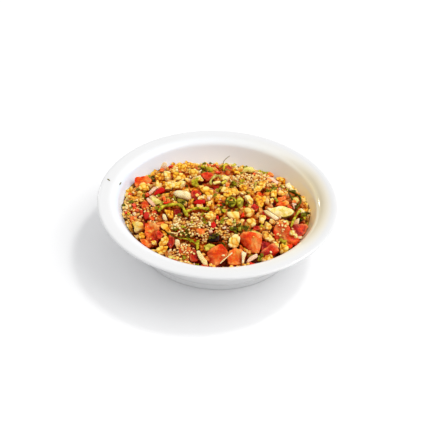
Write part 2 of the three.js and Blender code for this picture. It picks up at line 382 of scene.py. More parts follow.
def make_prism(poly, thick, seed, edge=0.6, skin=None, spacing=0.8, rough=0.08, sag=0.0, flare=0.04, curve=0.0, axis=0.0, fold=None, mid=0.0):
    """A cut piece with the given outline: its face at the top, rounded edges, sides going down.

    skin is the direction, in degrees, of the side that still has its skin. curve bends the whole
    piece down round an axis lying in its plane. fold = (degrees, offset, slope, skin) tips the face
    down beyond a line. The mask is 1 on the skin."""
    g = np.random.default_rng(seed)
    o = even_outline(poly, spacing, (0.09, 0.22))
    n = len(o)
    tan = np.roll(o, -1, 0) - np.roll(o, 1, 0)
    out = unit_rows(np.stack([tan[:, 1], -tan[:, 0]], 1))
    width = np.hypot(o[:, 0], o[:, 1])
    edge = min(edge, thick * 0.45, width.min() * 0.6)
    inset = o * (1 - edge / width)[:, None]
    rings, z, kind = [], [], []
    k_top = max(3, int(width.mean() / 1.5))
    for k in range(1, k_top + 1):
        rings.append(inset * (k / k_top))
        z.append(0.0)
        kind.append(0.0)
    for a in (22, 45, 68, 90):
        a = math.radians(a)
        rings.append(inset + (o - inset) * math.sin(a))
        z.append(-edge * (1 - math.cos(a)))
        kind.append(math.sin(a))
    deep = thick - 2 * edge
    steps = max(1, int(deep / 1.3))
    for k in range(1, steps + 1):
        u = k / steps
        rings.append(o * (1 + flare * u))
        z.append(-edge - deep * u)
        kind.append(1.0)
    for a in (35, 70):
        a = math.radians(a)
        rings.append(o * (1 + flare) * (1 - edge / width * (1 - math.cos(a)))[:, None])
        z.append(-edge - deep - edge * math.sin(a))
        kind.append(1.0)
    for k in (0.66, 0.33):
        rings.append(o * (1 + flare) * (1 - edge / width)[:, None] * k)
        z.append(-thick)
        kind.append(0.0)
    p = np.concatenate([np.c_[r, np.full(n, h)] for r, h in zip(rings, z)])
    side = np.repeat(kind, n)
    normal = np.c_[np.tile(out, (len(rings), 1)) * side[:, None], np.where(p[:, 2] > -thick / 2, 1, -1) * (1 - side)]
    normal = unit_rows(normal)
    p = np.vstack([[0, 0, 0], p, [0, 0, -thick]])
    side = np.concatenate([[0], side, [0]])
    normal = np.vstack([[0, 0, 1], normal, [0, 0, -1]])
    if skin is None:
        mask = np.zeros(len(p))
    else:
        s_dir = np.array([math.cos(math.radians(skin)), math.sin(math.radians(skin))])
        mask = smooth((normal[:, :2] @ s_dir - 0.35) / 0.3) * side
    # the cut face dips between its edges; soft and fine unevenness on all cut sides
    rim = np.concatenate([[0], np.repeat([min(1, (j + 1) / k_top) for j in range(len(rings))], n), [1]])
    top_face = np.concatenate([[1], np.repeat([1.0 if j < k_top + 2 else 0.0 for j in range(len(rings))], n), [0]])
    # painted highlight: along the top face's rim the mask goes below 0, which the tomato material paints as a lighter
    # salmon edge
    mask = mask - smooth((rim - 0.62) / 0.38) * top_face * (1 - mask)
    dip = -sag * (1 - rim ** 2) * (0.6 + 0.5 * Waves(seed + 4, 9, 5)(p)) * (p[:, 2] > -0.01)
    p[:, 2] += dip
    p = p + normal * ((0.22 * Waves(seed + 1, 9, 6)(p) + mid * Waves(seed + 6, 4.6, 7)(p) + rough * Waves(seed + 2, 2.4, 8)(p)) * (1 - 0.7 * np.maximum(mask, 0)) * min(1.0, thick / 5))[:, None]
    if fold:
        a = math.radians(fold[0])
        past = np.maximum(p[:, 0] * math.cos(a) + p[:, 1] * math.sin(a) - fold[1], 0)
        p[:, 2] -= fold[2] * past
        # a negative fold skin makes the tipped face's mask negative, painted lighter salmon by the tomato material:
        # partly paler flesh, partly a painted highlight
        mask = mask * (1 - smooth(past / 0.8) * fold[3]) + smooth(past / 0.8) * fold[3]
    if curve:
        ca, sa = math.cos(math.radians(axis)), math.sin(math.radians(axis))
        u, v = ca * p[:, 0] + sa * p[:, 1], -sa * p[:, 0] + ca * p[:, 1]
        b = bend_y(np.stack([u, v, p[:, 2]], 1), curve)
        p = np.stack([ca * b[:, 0] - sa * b[:, 1], sa * b[:, 0] + ca * b[:, 1], b[:, 2]], 1)
    tris, quads = [], []
    idx = np.arange(n)
    nx = (idx + 1) % n
    tris.append(np.stack([np.zeros(n, int), 1 + idx, 1 + nx], 1))
    for k in range(len(rings) - 1):
        a_, b_ = 1 + k * n, 1 + (k + 1) * n
        quads.append(np.stack([a_ + idx, b_ + idx, b_ + nx, a_ + nx], 1))
    last = 1 + (len(rings) - 1) * n
    tris.append(np.stack([np.full(n, len(p) - 1), last + nx, last + idx], 1))
    faces = [list(f) for f in np.concatenate(tris)] + [list(f) for f in np.concatenate(quads)]
    return p, faces, mask


def make_crumb(size, f, seed, flat=0.75):
    d, tris = ball(f)
    r = np.random.default_rng(seed)
    s = facets(d, 6, 0.4, 8, seed)
    p = d * s[:, None] * size / 2 * np.array([r.uniform(0.9, 1.35), r.uniform(0.75, 1.05), r.uniform(0.5, 0.9) * flat / 0.75])
    rough = Waves(seed + 5, max(0.9, size * 0.45), 6)(p)
    p = p * (1 + 0.07 * rough[:, None])
    return p, tris, np.clip(0.55 + 0.3 * rough, 0, 1)


def make_grain(length, f, seed):
    """A small flat oval grain, blunt at one end."""
    d, tris = ball(f)
    r = np.random.default_rng(seed)
    p = d * np.array([length / 2, length * r.uniform(0.29, 0.4), length * r.uniform(0.2, 0.3)])
    p[:, 1] *= 1 + 0.35 * p[:, 0] / length
    return p, tris, np.clip(0.5 + 0.5 * d[:, 2], 0, 1)


def make_chunk(lx, ly, lz, seed, step=0.95, r=1.2, skew=0.2, taper=0.25, bulge=0.05, wedge=0.0, rough=0.22):
    """A cut piece of soft flesh with a skin on its far long side (mask 1 there)."""
    g = np.random.default_rng(seed)
    p, quads, q = rounded_box(lx, ly, lz, r, step)
    # skin side swells, cut sides stay nearly flat
    p[:, 1] += ly * 0.09 * (1 - q[:, 0] ** 2) * (0.5 + 0.5 * q[:, 1])
    p[:, 2] += lz * bulge * (1 - q[:, 0] ** 2) * (1 - q[:, 1] ** 2) * q[:, 2]
    sx, sy = g.uniform(-skew, skew, 2)
    p[:, 0] += sx * p[:, 1]
    p[:, 1] += sy * p[:, 0] + g.uniform(-skew, skew) * 0.6 * p[:, 2]
    p[:, 1] *= 1 + g.uniform(-taper, taper) * q[:, 0]
    p[:, 2] *= 1 + g.uniform(-taper, taper) * q[:, 0]
    p[:, 0] *= 1 + g.uniform(-taper, taper) * q[:, 1]
    if wedge:
        p[:, 1] *= 1 - wedge * (0.5 + 0.5 * q[:, 0])
    n = unit_rows(q ** 3 * np.array([1, 1, 1]))
    soft = Waves(seed + 1, 7.5, 6)(p)
    grain = Waves(seed + 2, 2.0, 8)(p)
    skin = smooth((q[:, 1] - 0.72) / 0.25)
    p = p + n * ((0.42 * soft + rough * grain) * (1 - 0.75 * skin))[:, None]
    return p, quads, skin


def unit_rows(v):
    return v / np.maximum(np.linalg.norm(v, axis=1, keepdims=True), 1e-9)


def make_slab(lx, ly, lz, seed, step=0.8, r=None, along=0.0, across=0.0, sideways=0.0, taper=0.0, point=0.0, rough=0.08):
    """A thin curved piece, such as a layer of onion or a strip of pepper. mask is 1 on the outer face."""
    p, quads, q = rounded_box(lx, ly, lz, r if r else lz * 0.42, step)
    if point:
        p[:, 1] *= np.sqrt(np.clip(1 - point * q[:, 0] ** 2, 0.02, 1))
    if taper:
        p[:, 1] *= 1 + taper * q[:, 0]
    # uneven cut edges
    p[:, 1] += 0.06 * ly * Waves(seed + 3, lx * 0.8, 5)(np.stack([p[:, 0], q[:, 1], 0 * p[:, 0]], 1)) * np.abs(q[:, 1])
    n = unit_rows(q ** 3)
    p = p + n * (rough * Waves(seed, 3.2, 7)(p))[:, None]
    p[:, 2] += 0.10 * lz * Waves(seed + 8, max(4, lx * 0.7), 5)(np.stack([p[:, 0], p[:, 1], 0 * p[:, 0]], 1))
    if across:
        p = bend_y(p, across)
    if along:
        p = bend_x(p, along)
    if sideways:
        p = bend_flat(p, sideways)
    return p, quads, smooth((q[:, 2] + 1) / 2)


def make_leaf(size, seed, lobes=3, curl=0.5, thick=0.32):
    """A chopped leaf piece: lobed outline, closed thin sheet, curled."""
    g = np.random.default_rng(seed)
    rings, n = 3, 20
    a = np.linspace(0, 2 * math.pi, n, endpoint=False)
    out = size / 2 * (0.68 + 0.26 * np.abs(np.cos(lobes * a / 2 + g.uniform(0, 3))) ** 0.7
                      + 0.16 * g.normal(size=n) * 0.6)
    out = np.clip(out, size * 0.16, size * 0.62)
    pts = [[0, 0]]
    for k in range(1, rings + 1):
        rr = out * (k / rings)
        pts += list(np.stack([rr * np.cos(a), rr * np.sin(a) * g.uniform(0.6, 0.9)], 1))
    pts = np.array(pts)
    fold = Waves(seed + 1, size * 1.1, 5)
    z = curl * size * 0.14 * fold(np.c_[pts, np.zeros(len(pts))]) + 0.10 * size * np.abs(pts[:, 1]) / (size / 2)
    m = len(pts)
    rim = np.hypot(pts[:, 0], pts[:, 1]) / (np.hypot(pts[:, 0], pts[:, 1]).max() + 1e-9)
    t = thick * (1 - 0.6 * rim ** 4)
    v = np.vstack([np.c_[pts, z + t / 2], np.c_[pts, z - t / 2]])
    tris, quads = [], []
    ring = lambda k, j: 1 + (k - 1) * n + j % n
    for j in range(n):
        tris.append((0, ring(1, j), ring(1, j + 1)))
        tris.append((m, m + ring(1, j + 1), m + ring(1, j)))
        for k in range(1, rings):
            quads.append((ring(k, j), ring(k + 1, j), ring(k + 1, j + 1), ring(k, j + 1)))
            quads.append((m + ring(k, j + 1), m + ring(k + 1, j + 1), m + ring(k + 1, j), m + ring(k, j)))
        quads.append((ring(rings, j), m + ring(rings, j), m + ring(rings, j + 1), ring(rings, j + 1)))
    faces = [list(f) for f in tris] + [list(f) for f in quads]
    return v, faces, np.tile(1 - rim, 2)


def make_tube(path, radius, sides=8, flat=1.0, ends=0.35, up=(0, 0, 1)):
    """A closed tube along points. radius may be a list. mask is 1 on its upper side."""
    path = np.asarray(path, float)
    n = len(path)
    radius = np.broadcast_to(np.asarray(radius, float), (n,)).copy()
    radius[0] *= ends
    radius[-1] *= ends
    tan = unit_rows(np.gradient(path, axis=0))
    up = np.asarray(up, float)
    side = unit_rows(np.cross(up, tan))
    top = unit_rows(np.cross(tan, side))
    a = np.linspace(0, 2 * math.pi, sides, endpoint=False)
    v = (path[:, None] + radius[:, None, None] * (np.cos(a)[None, :, None] * side[:, None]
         + flat * np.sin(a)[None, :, None] * top[:, None])).reshape(-1, 3)
    faces = []
    for i in range(n - 1):
        for j in range(sides):
            b, c = i * sides + j, i * sides + (j + 1) % sides
            faces.append([b, c, c + sides, b + sides])
    v = np.vstack([v, path[0], path[-1]])
    for j in range(sides):
        faces.append([len(v) - 2, (j + 1) % sides, j])
        faces.append([len(v) - 1, (n - 1) * sides + j, (n - 1) * sides + (j + 1) % sides])
    mask = np.append(np.tile(0.5 + 0.5 * np.sin(a), n), [0.5, 0.5])
    return v, faces, mask


# ================================================================ joined pieces
class Kind:
    """Everything of one kind, joined into one mesh."""

    def __init__(self, name):
        self.name, self.v, self.tri, self.quad, self.a, self.n = name, [], [], [], [], 0

    def add(self, p, faces, mask, r1, r2):
        self.v.append(p)
        if isinstance(faces, list):
            t = np.array([f for f in faces if len(f) == 3], int).reshape(-1, 3)
            q = np.array([f for f in faces if len(f) == 4], int).reshape(-1, 4)
        else:
            t, q = (faces, np.zeros((0, 4), int)) if faces.shape[1] == 3 else (np.zeros((0, 3), int), faces)
        self.tri.append(t + self.n)
        self.quad.append(q + self.n)
        self.a.append(np.stack([np.full(len(p), r1), np.full(len(p), r2), mask], 1))
        self.n += len(p)

    def triangles(self):
        return sum(len(t) for t in self.tri) + 2 * sum(len(q) for q in self.quad)

    def make(self, material):
        me = bpy.data.meshes.new(self.name)
        v = np.concatenate(self.v) / 1000.0
        t, q = np.concatenate(self.tri), np.concatenate(self.quad)
        me.vertices.add(len(v))
        me.vertices.foreach_set("co", v.astype(np.float32).ravel())
        loops = np.concatenate([t.ravel(), q.ravel()]).astype(np.int32)
        me.loops.add(len(loops))
        me.loops.foreach_set("vertex_index", loops)
        starts = np.concatenate([np.arange(len(t)) * 3, len(t) * 3 + np.arange(len(q)) * 4]).astype(np.int32)
        me.polygons.add(len(starts))
        me.polygons.foreach_set("loop_start", starts)
        me.update(calc_edges=True)
        me.validate()
        me.shade_smooth()
        at = me.attributes.new("var", "FLOAT_VECTOR", "POINT")
        at.data.foreach_set("vector", np.concatenate(self.a).astype(np.float32).ravel())
        # painted shade: how far each point lies under the heap's level, which the materials turn into a darker, redder
        # colour in the gaps
        if LEVEL:
            p = np.concatenate(self.v)
            i, j = cells(p)
            deep = np.clip((LEVEL[0][i, j] - p[:, 2] - 0.7) / 3.4, 0, 1) * np.clip((1.02 - OUT[i, j]) / 0.12, 0.25, 1)
            deep *= np.hypot(p[:, 0], p[:, 1]) < 85
            at = me.attributes.new("deep", "FLOAT", "POINT")
            at.data.foreach_set("value", deep.astype(np.float32))
        me.materials.append(material)
        ob = bpy.data.objects.new(self.name, me)
        bpy.context.scene.collection.objects.link(ob)
        return ob


# ================================================================ the height map
CELL = 0.5
SPAN = 86.0
SIDE = int(2 * SPAN / CELL)
GX, GY = np.meshgrid((np.arange(SIDE) + 0.5) * CELL - SPAN, (np.arange(SIDE) + 0.5) * CELL - SPAN, indexing="ij")
GR = np.hypot(GX, GY)
TARGET, OUT = mound(GX, GY)
WALL = wall_height(GR)
INSIDE = OUT < 1.0
TARGET = np.where(INSIDE, TARGET, WALL)
PIX_X, PIX_Y = pixel_of(GX, GY, TARGET)


LEVEL = []


def local_level():
    """The heap's level as the eye takes it: the highest things near each place, evened out, without the gaps."""
    angle = np.arctan2(GY, GX)
    e = np.where(INSIDE, H, edge_height(angle) + 0.8)
    for _ in range(4):
        m = e.copy()
        for step in ((1, 0), (-1, 0), (0, 1), (0, -1)):
            m = np.maximum(m, np.roll(e, step, (0, 1)))
        e = m
    for _ in range(2):
        for axis in (0, 1):
            e = sum(np.roll(e, k, axis) for k in range(-5, 6)) / 11
    return e


def cells(p):
    i = np.clip(((p[:, 0] + SPAN) / CELL).astype(int), 1, SIDE - 2)
    j = np.clip(((p[:, 1] + SPAN) / CELL).astype(int), 1, SIDE - 2)
    return i, j


def drop(p, faces_down, x, y, quantile):
    """Height at which a piece comes to rest on what is there."""
    q = p[faces_down]
    i, j = cells(q + np.array([x, y, 0]))
    return float(np.quantile(H[i, j] - q[:, 2], quantile))


def stamp(p, protect=False):
    """Adds a placed piece to the height map."""
    i, j = cells(p)
    for di in (-1, 0, 1):
        for dj in (-1, 0, 1):
            np.maximum.at(H, (i + di, j + dj), p[:, 2])
    if protect:
        shown = p[:, 2] >= H[i, j] - 1.2
        KEEP[i[shown], j[shown]] = True


def frame_on(normal, heading, tilt=0.0, roll=0.0):
    """Rotation whose Z is the normal and whose X runs along the heading, then tilted and rolled."""
    z = unit(normal)
    x = unit(np.asarray(heading, float) - z * np.dot(heading, z))
    y = np.cross(z, x)
    m = np.stack([x, y, z], 1)
    ct, st, cr, sr = math.cos(tilt), math.sin(tilt), math.cos(roll), math.sin(roll)
    about_y = np.array([[ct, 0, st], [0, 1, 0], [-st, 0, ct]])
    about_x = np.array([[1, 0, 0], [0, cr, -sr], [0, sr, cr]])
    return m @ about_y @ about_x


def slope_normal(x, y, strength=1.0):
    e = 2.0
    h, _ = mound(np.array([x - e, x + e, x, x]), np.array([y, y, y - e, y + e]))
    return unit([-(h[1] - h[0]) / (2 * e) * strength, -(h[3] - h[2]) / (2 * e) * strength, 1.0])


# ================================================================ core
def core_height():
    """Relief of the core: small bumps a little under the heap's mean surface."""
    g = np.random.default_rng(77)
    h = TARGET - 8.2
    lump = Waves(5, 13, 8)
    h = h + 0.8 * lump(np.stack([GX.ravel(), GY.ravel(), 0 * GX.ravel()], 1)).reshape(GX.shape)
    rise = np.zeros_like(h)
    for _ in range(5200):
        r = g.uniform(0.9, 2.3)
        a, rad = g.uniform(0, 2 * math.pi), 80 * math.sqrt(g.uniform())
        x, y = rad * math.cos(a), rad * math.sin(a)
        w = int(r / CELL) + 1
        i0, j0 = int((x + SPAN) / CELL), int((y + SPAN) / CELL)
        sl = (slice(max(0, i0 - w), i0 + w + 1), slice(max(0, j0 - w), j0 + w + 1))
        d = ((GX[sl] - x) ** 2 + (GY[sl] - y) ** 2) / (r * r)
        rise[sl] = np.maximum(rise[sl], g.uniform(0.5, 1.1) * r * np.sqrt(np.clip(1 - d, 0, 1)))
    h = h + rise
    near = smooth((1.0 - OUT) / 0.05)
    return np.where(INSIDE, h * near + (TARGET - 2.5) * (1 - near), WALL)


H = core_height()
CORE = H.copy()
H = np.where(INSIDE, H, WALL)
KEEP = np.zeros_like(H, bool)


def make_core():
    rings, around = 96, 300
    kind = Kind("salad_core")
    a = np.linspace(0, 2 * math.pi, around, endpoint=False)
    ez = edge_height(a)
    er = well_radius(ez - 1.0) - 0.3
    pts = [[0, 0, CORE[SIDE // 2, SIDE // 2]]]
    for k in range(1, rings + 1):
        t = k / rings
        x, y = t * er * np.cos(a), t * er * np.sin(a)
        i, j = cells(np.stack([x, y], 1))
        z = CORE[i, j]
        if k == rings:
            z = ez - 1.2
        pts += list(np.stack([x, y, z], 1))
    tris, quads = [], []
    ring = lambda k, j: 1 + (k - 1) * around + j % around
    for j in range(around):
        tris.append([0, ring(1, j), ring(1, j + 1)])
    for k in range(1, rings):
        for j in range(around):
            quads.append([ring(k, j), ring(k + 1, j), ring(k + 1, j + 1), ring(k, j + 1)])
    # underside along the well
    top = len(pts) - around
    last = [top + j for j in range(around)]
    for r, z in WELL[::-1]:
        if z > ez.min() - 2.5 or r < 1:
            continue
        new = [len(pts) + j for j in range(around)]
        pts += [[(r - 0.3) * math.cos(b), (r - 0.3) * math.sin(b), z + 0.3] for b in a]
        for j in range(around):
            quads.append([last[j], new[j], new[(j + 1) % around], last[(j + 1) % around]])
        last = new
    pts.append([0, 0, WELL_FLOOR_Z])
    for j in range(around):
        tris.append([len(pts) - 1, last[(j + 1) % around], last[j]])
    pts = np.array(pts)
    i, j = cells(pts)
    mask = np.clip((pts[:, 2] - (TARGET[i, j] - 9.0)) / 5.5, 0, 1)
    kind.add(pts, tris + quads, mask, 0.5, 0.5)
    return kind


# ================================================================ kinds
K = {n: Kind(n) for n in ("tomato", "red_pepper", "green_pepper", "onion", "walnut_halves", "walnut_pieces", "walnut_bits",
                          "nut_crumbs", "grains", "parsley", "herb_stems", "olive")}
placed = []


def put(kind, shape, x, y, z, m, r1=None, r2=None, protect=False):
    p, faces, mask = shape
    p = p @ m.T + np.array([x, y, z])
    over = p[:, 2].max() - TOP_LIMIT
    if over > 0:
        p[:, 2] -= over
    # keep off the glaze: what would reach into the wall is drawn in along the radius
    r = np.hypot(p[:, 0], p[:, 1])
    free = np.interp(p[:, 2], WELL[:, 1], WELL[:, 0]) - 0.35
    free = np.where(p[:, 2] > LIP_Z - 2, 82.5, free)
    s = np.where(r > free, free / np.maximum(r, 1e-6), 1.0)
    p[:, 0] *= s
    p[:, 1] *= s
    K[kind].add(p, faces, mask, rng.uniform() if r1 is None else r1, rng.uniform() if r2 is None else r2)
    stamp(p, protect)
    return p


def world_heading(px, py, angle):
    """Direction on the heap that runs at an angle (degrees, clockwise from right) in the picture."""
    a = math.radians(angle)
    p0 = cast(px, py)
    p1 = cast(px + 2 * math.cos(a), py + 2 * math.sin(a))
    return unit(p1 - p0)


# ---------------------------------------------------------------- pieces placed by where the picture shows them
def ray(px, py):
    dx, dy = px - 219.0, py - 219.0
    x = math.cos(ROLL) * dx + math.sin(ROLL) * dy
    y = -math.sin(ROLL) * dx + math.cos(ROLL) * dy
    return AHEAD * FOCAL_PX + RIGHT * (x + 0.5) - UP * (y + 0.5)


def at_height(px, py, z):
    d = ray(px, py)
    return EYE + d * ((z - EYE[2]) / d[2])


def shown(kind, tone, thick, outline, lean=0.45, lift=1.4, seed=0, keep=True, r2=None, sink=0.0, **kw):
    """A piece that shows a given outline in the picture. Its face lies between the heap's slope
    (lean 0) and square to the line of sight (lean 1)."""
    q = np.array(outline, float)
    nxt = np.roll(q, -1, 0)
    cross = q[:, 0] * nxt[:, 1] - nxt[:, 0] * q[:, 1]
    centre = ((q + nxt) * cross[:, None]).sum(0) / (3 * cross.sum())
    c = cast(centre[0], centre[1], lift)
    n = unit(slope_normal(c[0], c[1], 0.8) * (1 - lean) - AHEAD * lean)
    x = unit(RIGHT - n * np.dot(RIGHT, n))
    y = np.cross(n, x)
    pts = []
    for px, py in q:
        d = ray(px, py)
        hit = EYE + d * (np.dot(c - EYE, n) / np.dot(d, n)) - c
        pts.append((np.dot(hit, x), np.dot(hit, y)))
    pts = np.array(pts)
    m = np.stack([x, y, n], 1)
    c = c - n * sink
    if kind.startswith("walnut"):
        out = polar_outline(pts)
        big = out.mean() * 2
        f = 10 if big > 10.5 else 8 if big > 7 else 6
        kw.setdefault("lobe", float(np.clip(0.38 * big, 2.6, 4.2)))
        kw.setdefault("depth", 0.15)
        shape = lump(out * 1.04, thick, f, seed, **kw)
        shape = (shape[0] - np.array([0, 0, thick * 0.32]), shape[1], shape[2])
    else:
        if kind == "tomato":
            kw.setdefault("mid", 0.18)
            kw.setdefault("rough", 0.14)
            kw.setdefault("sag", 0.5)
        shape = make_prism(pts, thick, seed, **kw)
    return put(kind, shape, c[0], c[1], c[2], m, tone, r2, keep)


def bar(kind, a, b, width, thick, lift=0.4, roll=0.0, tilt=0.0, r1=None, r2=None, seed=0, maker=make_slab, keep=True, stretch=1.0, **kw):
    """A piece whose long axis runs between two pixels. width and thick in mm."""
    p0, p1 = cast(*a, lift), cast(*b, lift)
    c = (p0 + p1) / 2
    lx = np.linalg.norm(p1 - p0) * stretch
    n = slope_normal(c[0], c[1], 0.8)
    m = frame_on(n, p1 - p0, tilt, roll)
    if maker is make_walnut:
        shape = make_walnut(lx, width, thick, 12 if lx > 10.5 else 9, seed, **kw)
    else:
        shape = maker(lx, width, thick, seed, **kw)
    return put(kind, shape, c[0], c[1], c[2], m, r1, r2, keep)


def strand(kind, pts, radius, lift=1.0, flat=0.7, sides=8, r1=None, r2=None, keep=True, rise=None):
    """A thin strip through several pixels."""
    ctrl = np.array([cast(x, y, lift) for x, y in pts])
    if rise is not None:
        ctrl[:, 2] += np.array(rise)
    t = np.linspace(0, len(ctrl) - 1, 7 * (len(ctrl) - 1) + 1)
    k = np.clip(t.astype(int), 0, len(ctrl) - 2)
    f = (t - k)[:, None]
    e = np.vstack([2 * ctrl[0] - ctrl[1], ctrl, 2 * ctrl[-1] - ctrl[-2]])
    a, b, c, d = e[k], e[k + 1], e[k + 2], e[k + 3]
    path = 0.5 * (2 * b + (c - a) * f + (2 * a - 5 * b + 4 * c - d) * f ** 2 + (3 * b - a - 3 * c + d) * f ** 3)
    rad = np.full(len(path), radius) * (1 + 0.22 * np.sin(np.arange(len(path)) * 0.55 + ctrl[0, 0]) + 0.1 * np.sin(np.arange(len(path)) * 1.7))
    shape = make_tube(path, rad, sides, flat)
    return put(kind, shape, 0, 0, 0, np.eye(3), r1, r2, keep)


def heroes():
    T, R, G, O, W, w = "tomato", "red_pepper", "green_pepper", "onion", "walnut_halves", "walnut_pieces"
    # upper left
    shown(T, 0.42, 8, [(134, 177), (146, 175.3), (150.3, 179), (149.8, 183.5), (140, 185), (136.5, 187.5), (134, 184)],
          lean=0.5, seed=11, skin=180)
    shown(W, 0.30, 6, [(138, 186), (140, 182.5), (144, 181.6), (147.6, 184), (147.7, 188), (144, 190.5), (139.5, 189.7)], lift=2.2, seed=12)
    shown(W, 0.12, 8, [(155, 174), (159, 171), (165, 171.5), (165.5, 178), (160, 180.3), (156, 178.8)], lift=1.8, seed=13)
    shown(W, 0.72, 7, [(163.5, 170.3), (169.5, 171.5), (171.8, 177.5), (168.5, 180.8), (164.3, 179)], lift=1.8, seed=10)
    shown(O, 0.80, 2.4, [(158.6, 170.5), (160.3, 164.5), (162.4, 161.4), (166.3, 161.9), (166.6, 166), (165.2, 171)], lean=1.0, lift=3.2,
          seed=14, curve=9, axis=80, edge=0.8)
    shown(O, 0.92, 2.4, [(147.3, 192), (153.4, 185.3), (155.9, 187), (155.2, 189.2), (149.5, 194.7)], lift=2.4, seed=15, curve=7, axis=45)
    shown(R, 0.45, 4.2, [(152.8, 193.6), (156, 188.8), (161, 185.2), (164.8, 188.4), (162.8, 190.8), (155.5, 195)], lift=2.6, seed=16,
          curve=12, axis=35, edge=1.1)
    shown(O, 0.97, 2.0, [(145.3, 198.5), (147.4, 196.3), (153.7, 201.8), (155.7, 206.3), (152, 205.8)], lift=2.4, seed=17, curve=6, axis=-45)
    shown(G, 0.78, 3.4, [(150.8, 197), (154, 195.7), (161.2, 200), (160.2, 202.8), (155, 204.2), (150.8, 200.3)], lift=2.0, seed=18, skin=-60,
          curve=10, axis=-30)
    shown(T, 0.22, 6, [(140.3, 201.6), (144, 199.8), (148.3, 203), (149.2, 208.7), (146, 211.2), (141, 206.4)], lift=1.0, seed=19, skin=0)
    shown(T, 0.50, 3.4, [(160.8, 195.6), (164.6, 194.8), (166.3, 200.7), (163.4, 201.4)], lift=1.6, seed=20)
    shown(T, 0.30, 3.6, [(166, 196), (169.6, 198.8), (170.3, 203.3), (165.8, 202.4)], lift=1.0, seed=21)
    # upper middle
    shown(W, 0.93, 6, [(163.8, 181), (170, 180.6), (171.4, 186), (169, 190.3), (164.8, 188.7)], lift=2.0, seed=22)
    shown(W, 0.88, 6.5, [(170, 181.4), (180, 179.7), (184.8, 181), (184.8, 185.3), (178, 189), (171.3, 187.9)], lift=2.0, seed=23, lobe=3.8)
    shown(W, 0.34, 6, [(177.2, 164.5), (184, 162.8), (186.8, 166), (184.7, 171.3), (178.8, 172.3)], lift=2.2, seed=24, lean=0.7)
    shown(W, 0.30, 6.5, [(171.3, 171.8), (180, 172.2), (186.3, 174), (186.3, 178.2), (178, 179), (172.8, 177.4)], lift=1.8, seed=25)
    shown(W, 0.26, 6, [(183.3, 163.3), (190, 161.7), (194.6, 165.5), (190, 169.4), (185.3, 168.3)], lift=2.2, seed=26, lean=0.7)
    shown(W, 0.62, 6, [(188.8, 168.7), (196, 168.3), (199, 171), (197.3, 176.5), (192, 177), (187.8, 172.4)], lift=2.4, seed=27)
    shown(w, 0.85, 4.5, [(170.2, 169), (177, 168.2), (178.8, 171.6), (172, 173.3)], lift=1.8, seed=28, lean=0.6)
    shown(T, 0.10, 6, [(200.3, 174.6), (203, 171.3), (211, 171.8), (213.4, 174.5), (208.6, 180.4), (205.6, 180.3)], lift=1.8, seed=29, skin=10)
    shown(w, 0.90, 4.5, [(194.8, 177.2), (199.5, 174.3), (203.2, 178.5), (203.8, 180.8), (198, 180.5)], lift=2.4, seed=30)
    shown(G, 0.42, 2.6, [(190.8, 178.3), (195, 179), (198.8, 184), (196, 187), (191.2, 183.8)], lift=1.6, seed=31, skin=-90, curve=8)
    shown(O, 0.42, 5.6, [(173.2, 191), (177, 188.6), (186, 188), (190.2, 191.6), (190.6, 197.5), (188, 199.9), (180, 197.9), (174.2, 195.4)],
          lift=2.6, seed=32, edge=2.4, sag=-0.7, rough=0.07, curve=14, axis=-12)
    # painted shade: a dark olive piece that stands for the shade under the onion
    shown(G, 0.05, 3.0, [(176, 197), (181, 198.2), (187, 200.2), (184, 204.6), (177.5, 203.8)], lift=0.0, seed=33)
    shown(W, 0.40, 8, [(199.8, 182), (206, 180.2), (212.2, 187), (215.3, 194), (214.8, 200.8), (208.8, 199.9), (202.8, 191), (199.7, 186.6)],
          lift=2.6, seed=34, lobe=5.2, depth=0.2)
    # painted shade: a tomato piece that lies in shade, given the darkest red
    shown(T, 0.03, 6, [(190.8, 190), (199, 188.8), (201.2, 193), (197.6, 196.3), (196, 199.8), (191.3, 199.4)], lift=-0.4, seed=35)
    shown(R, 0.30, 4.2, [(192.8, 200.6), (196.5, 198.2), (204.3, 198.2), (204.4, 202.2), (199, 204.4), (193.8, 203.4)], lift=2.2, seed=36,
          curve=10, axis=0, edge=1.2)
    shown(w, 0.85, 3.6, [(197.3, 196), (202, 194.2), (204.8, 198), (199, 199.3)], lift=2.6, seed=37)
    strand(G, [(210.3, 183.2), (210.3, 179.6), (213.5, 175.8), (218, 174.6), (220.6, 176.2)], 0.9, lift=2.6, flat=1.3, r1=0.86)
    shown(G, 0.97, 2.2, [(211.8, 181), (219.5, 179.5), (220.8, 181.6), (213.5, 183.9)], lift=2.4, seed=38, curve=6, axis=0)
    shown(G, 0.58, 2.4, [(220.3, 181.4), (225, 179.3), (227.3, 181.6), (222, 184)], lift=2.0, seed=39)
    shown(w, 0.96, 4.4, [(219.3, 176), (226, 173.8), (229.3, 177), (226, 180.8), (220.3, 180.3)], lift=2.2, seed=40)
    shown(T, 0.0, 4.0, [(212, 185.5), (219, 185.5), (217, 190), (214, 190)], lift=-1.6, seed=41)
    # green arcs
    strand(G, [(158.3, 211), (160.3, 208), (164, 205.6), (170.5, 204.4), (177.6, 204.2), (182.4, 206.8), (184.4, 211), (187.6, 216)],
           1.25, lift=3.0, flat=1.1, r1=0.34)
    strand(G, [(184.5, 211.5), (189.5, 209.6), (195, 207.8), (201, 207.4), (207.5, 209)], 1.0, lift=2.6, flat=1.1, r1=0.40)
    shown(W, 0.14, 6, [(163.8, 209.5), (171, 209.3), (172.8, 214), (171.3, 218.3), (167.8, 217.9), (164.8, 213.3)], lift=1.6, seed=42)
    shown(O, 0.62, 3.2, [(161.8, 212), (165, 213.8), (167.3, 219.8), (163.3, 219.3), (161.3, 215)], lift=1.8, seed=43, curve=6, axis=60)
    shown(T, 0.04, 4, [(173, 208.5), (179.5, 208), (180.5, 214), (174, 216.5)], lift=-0.6, seed=44)
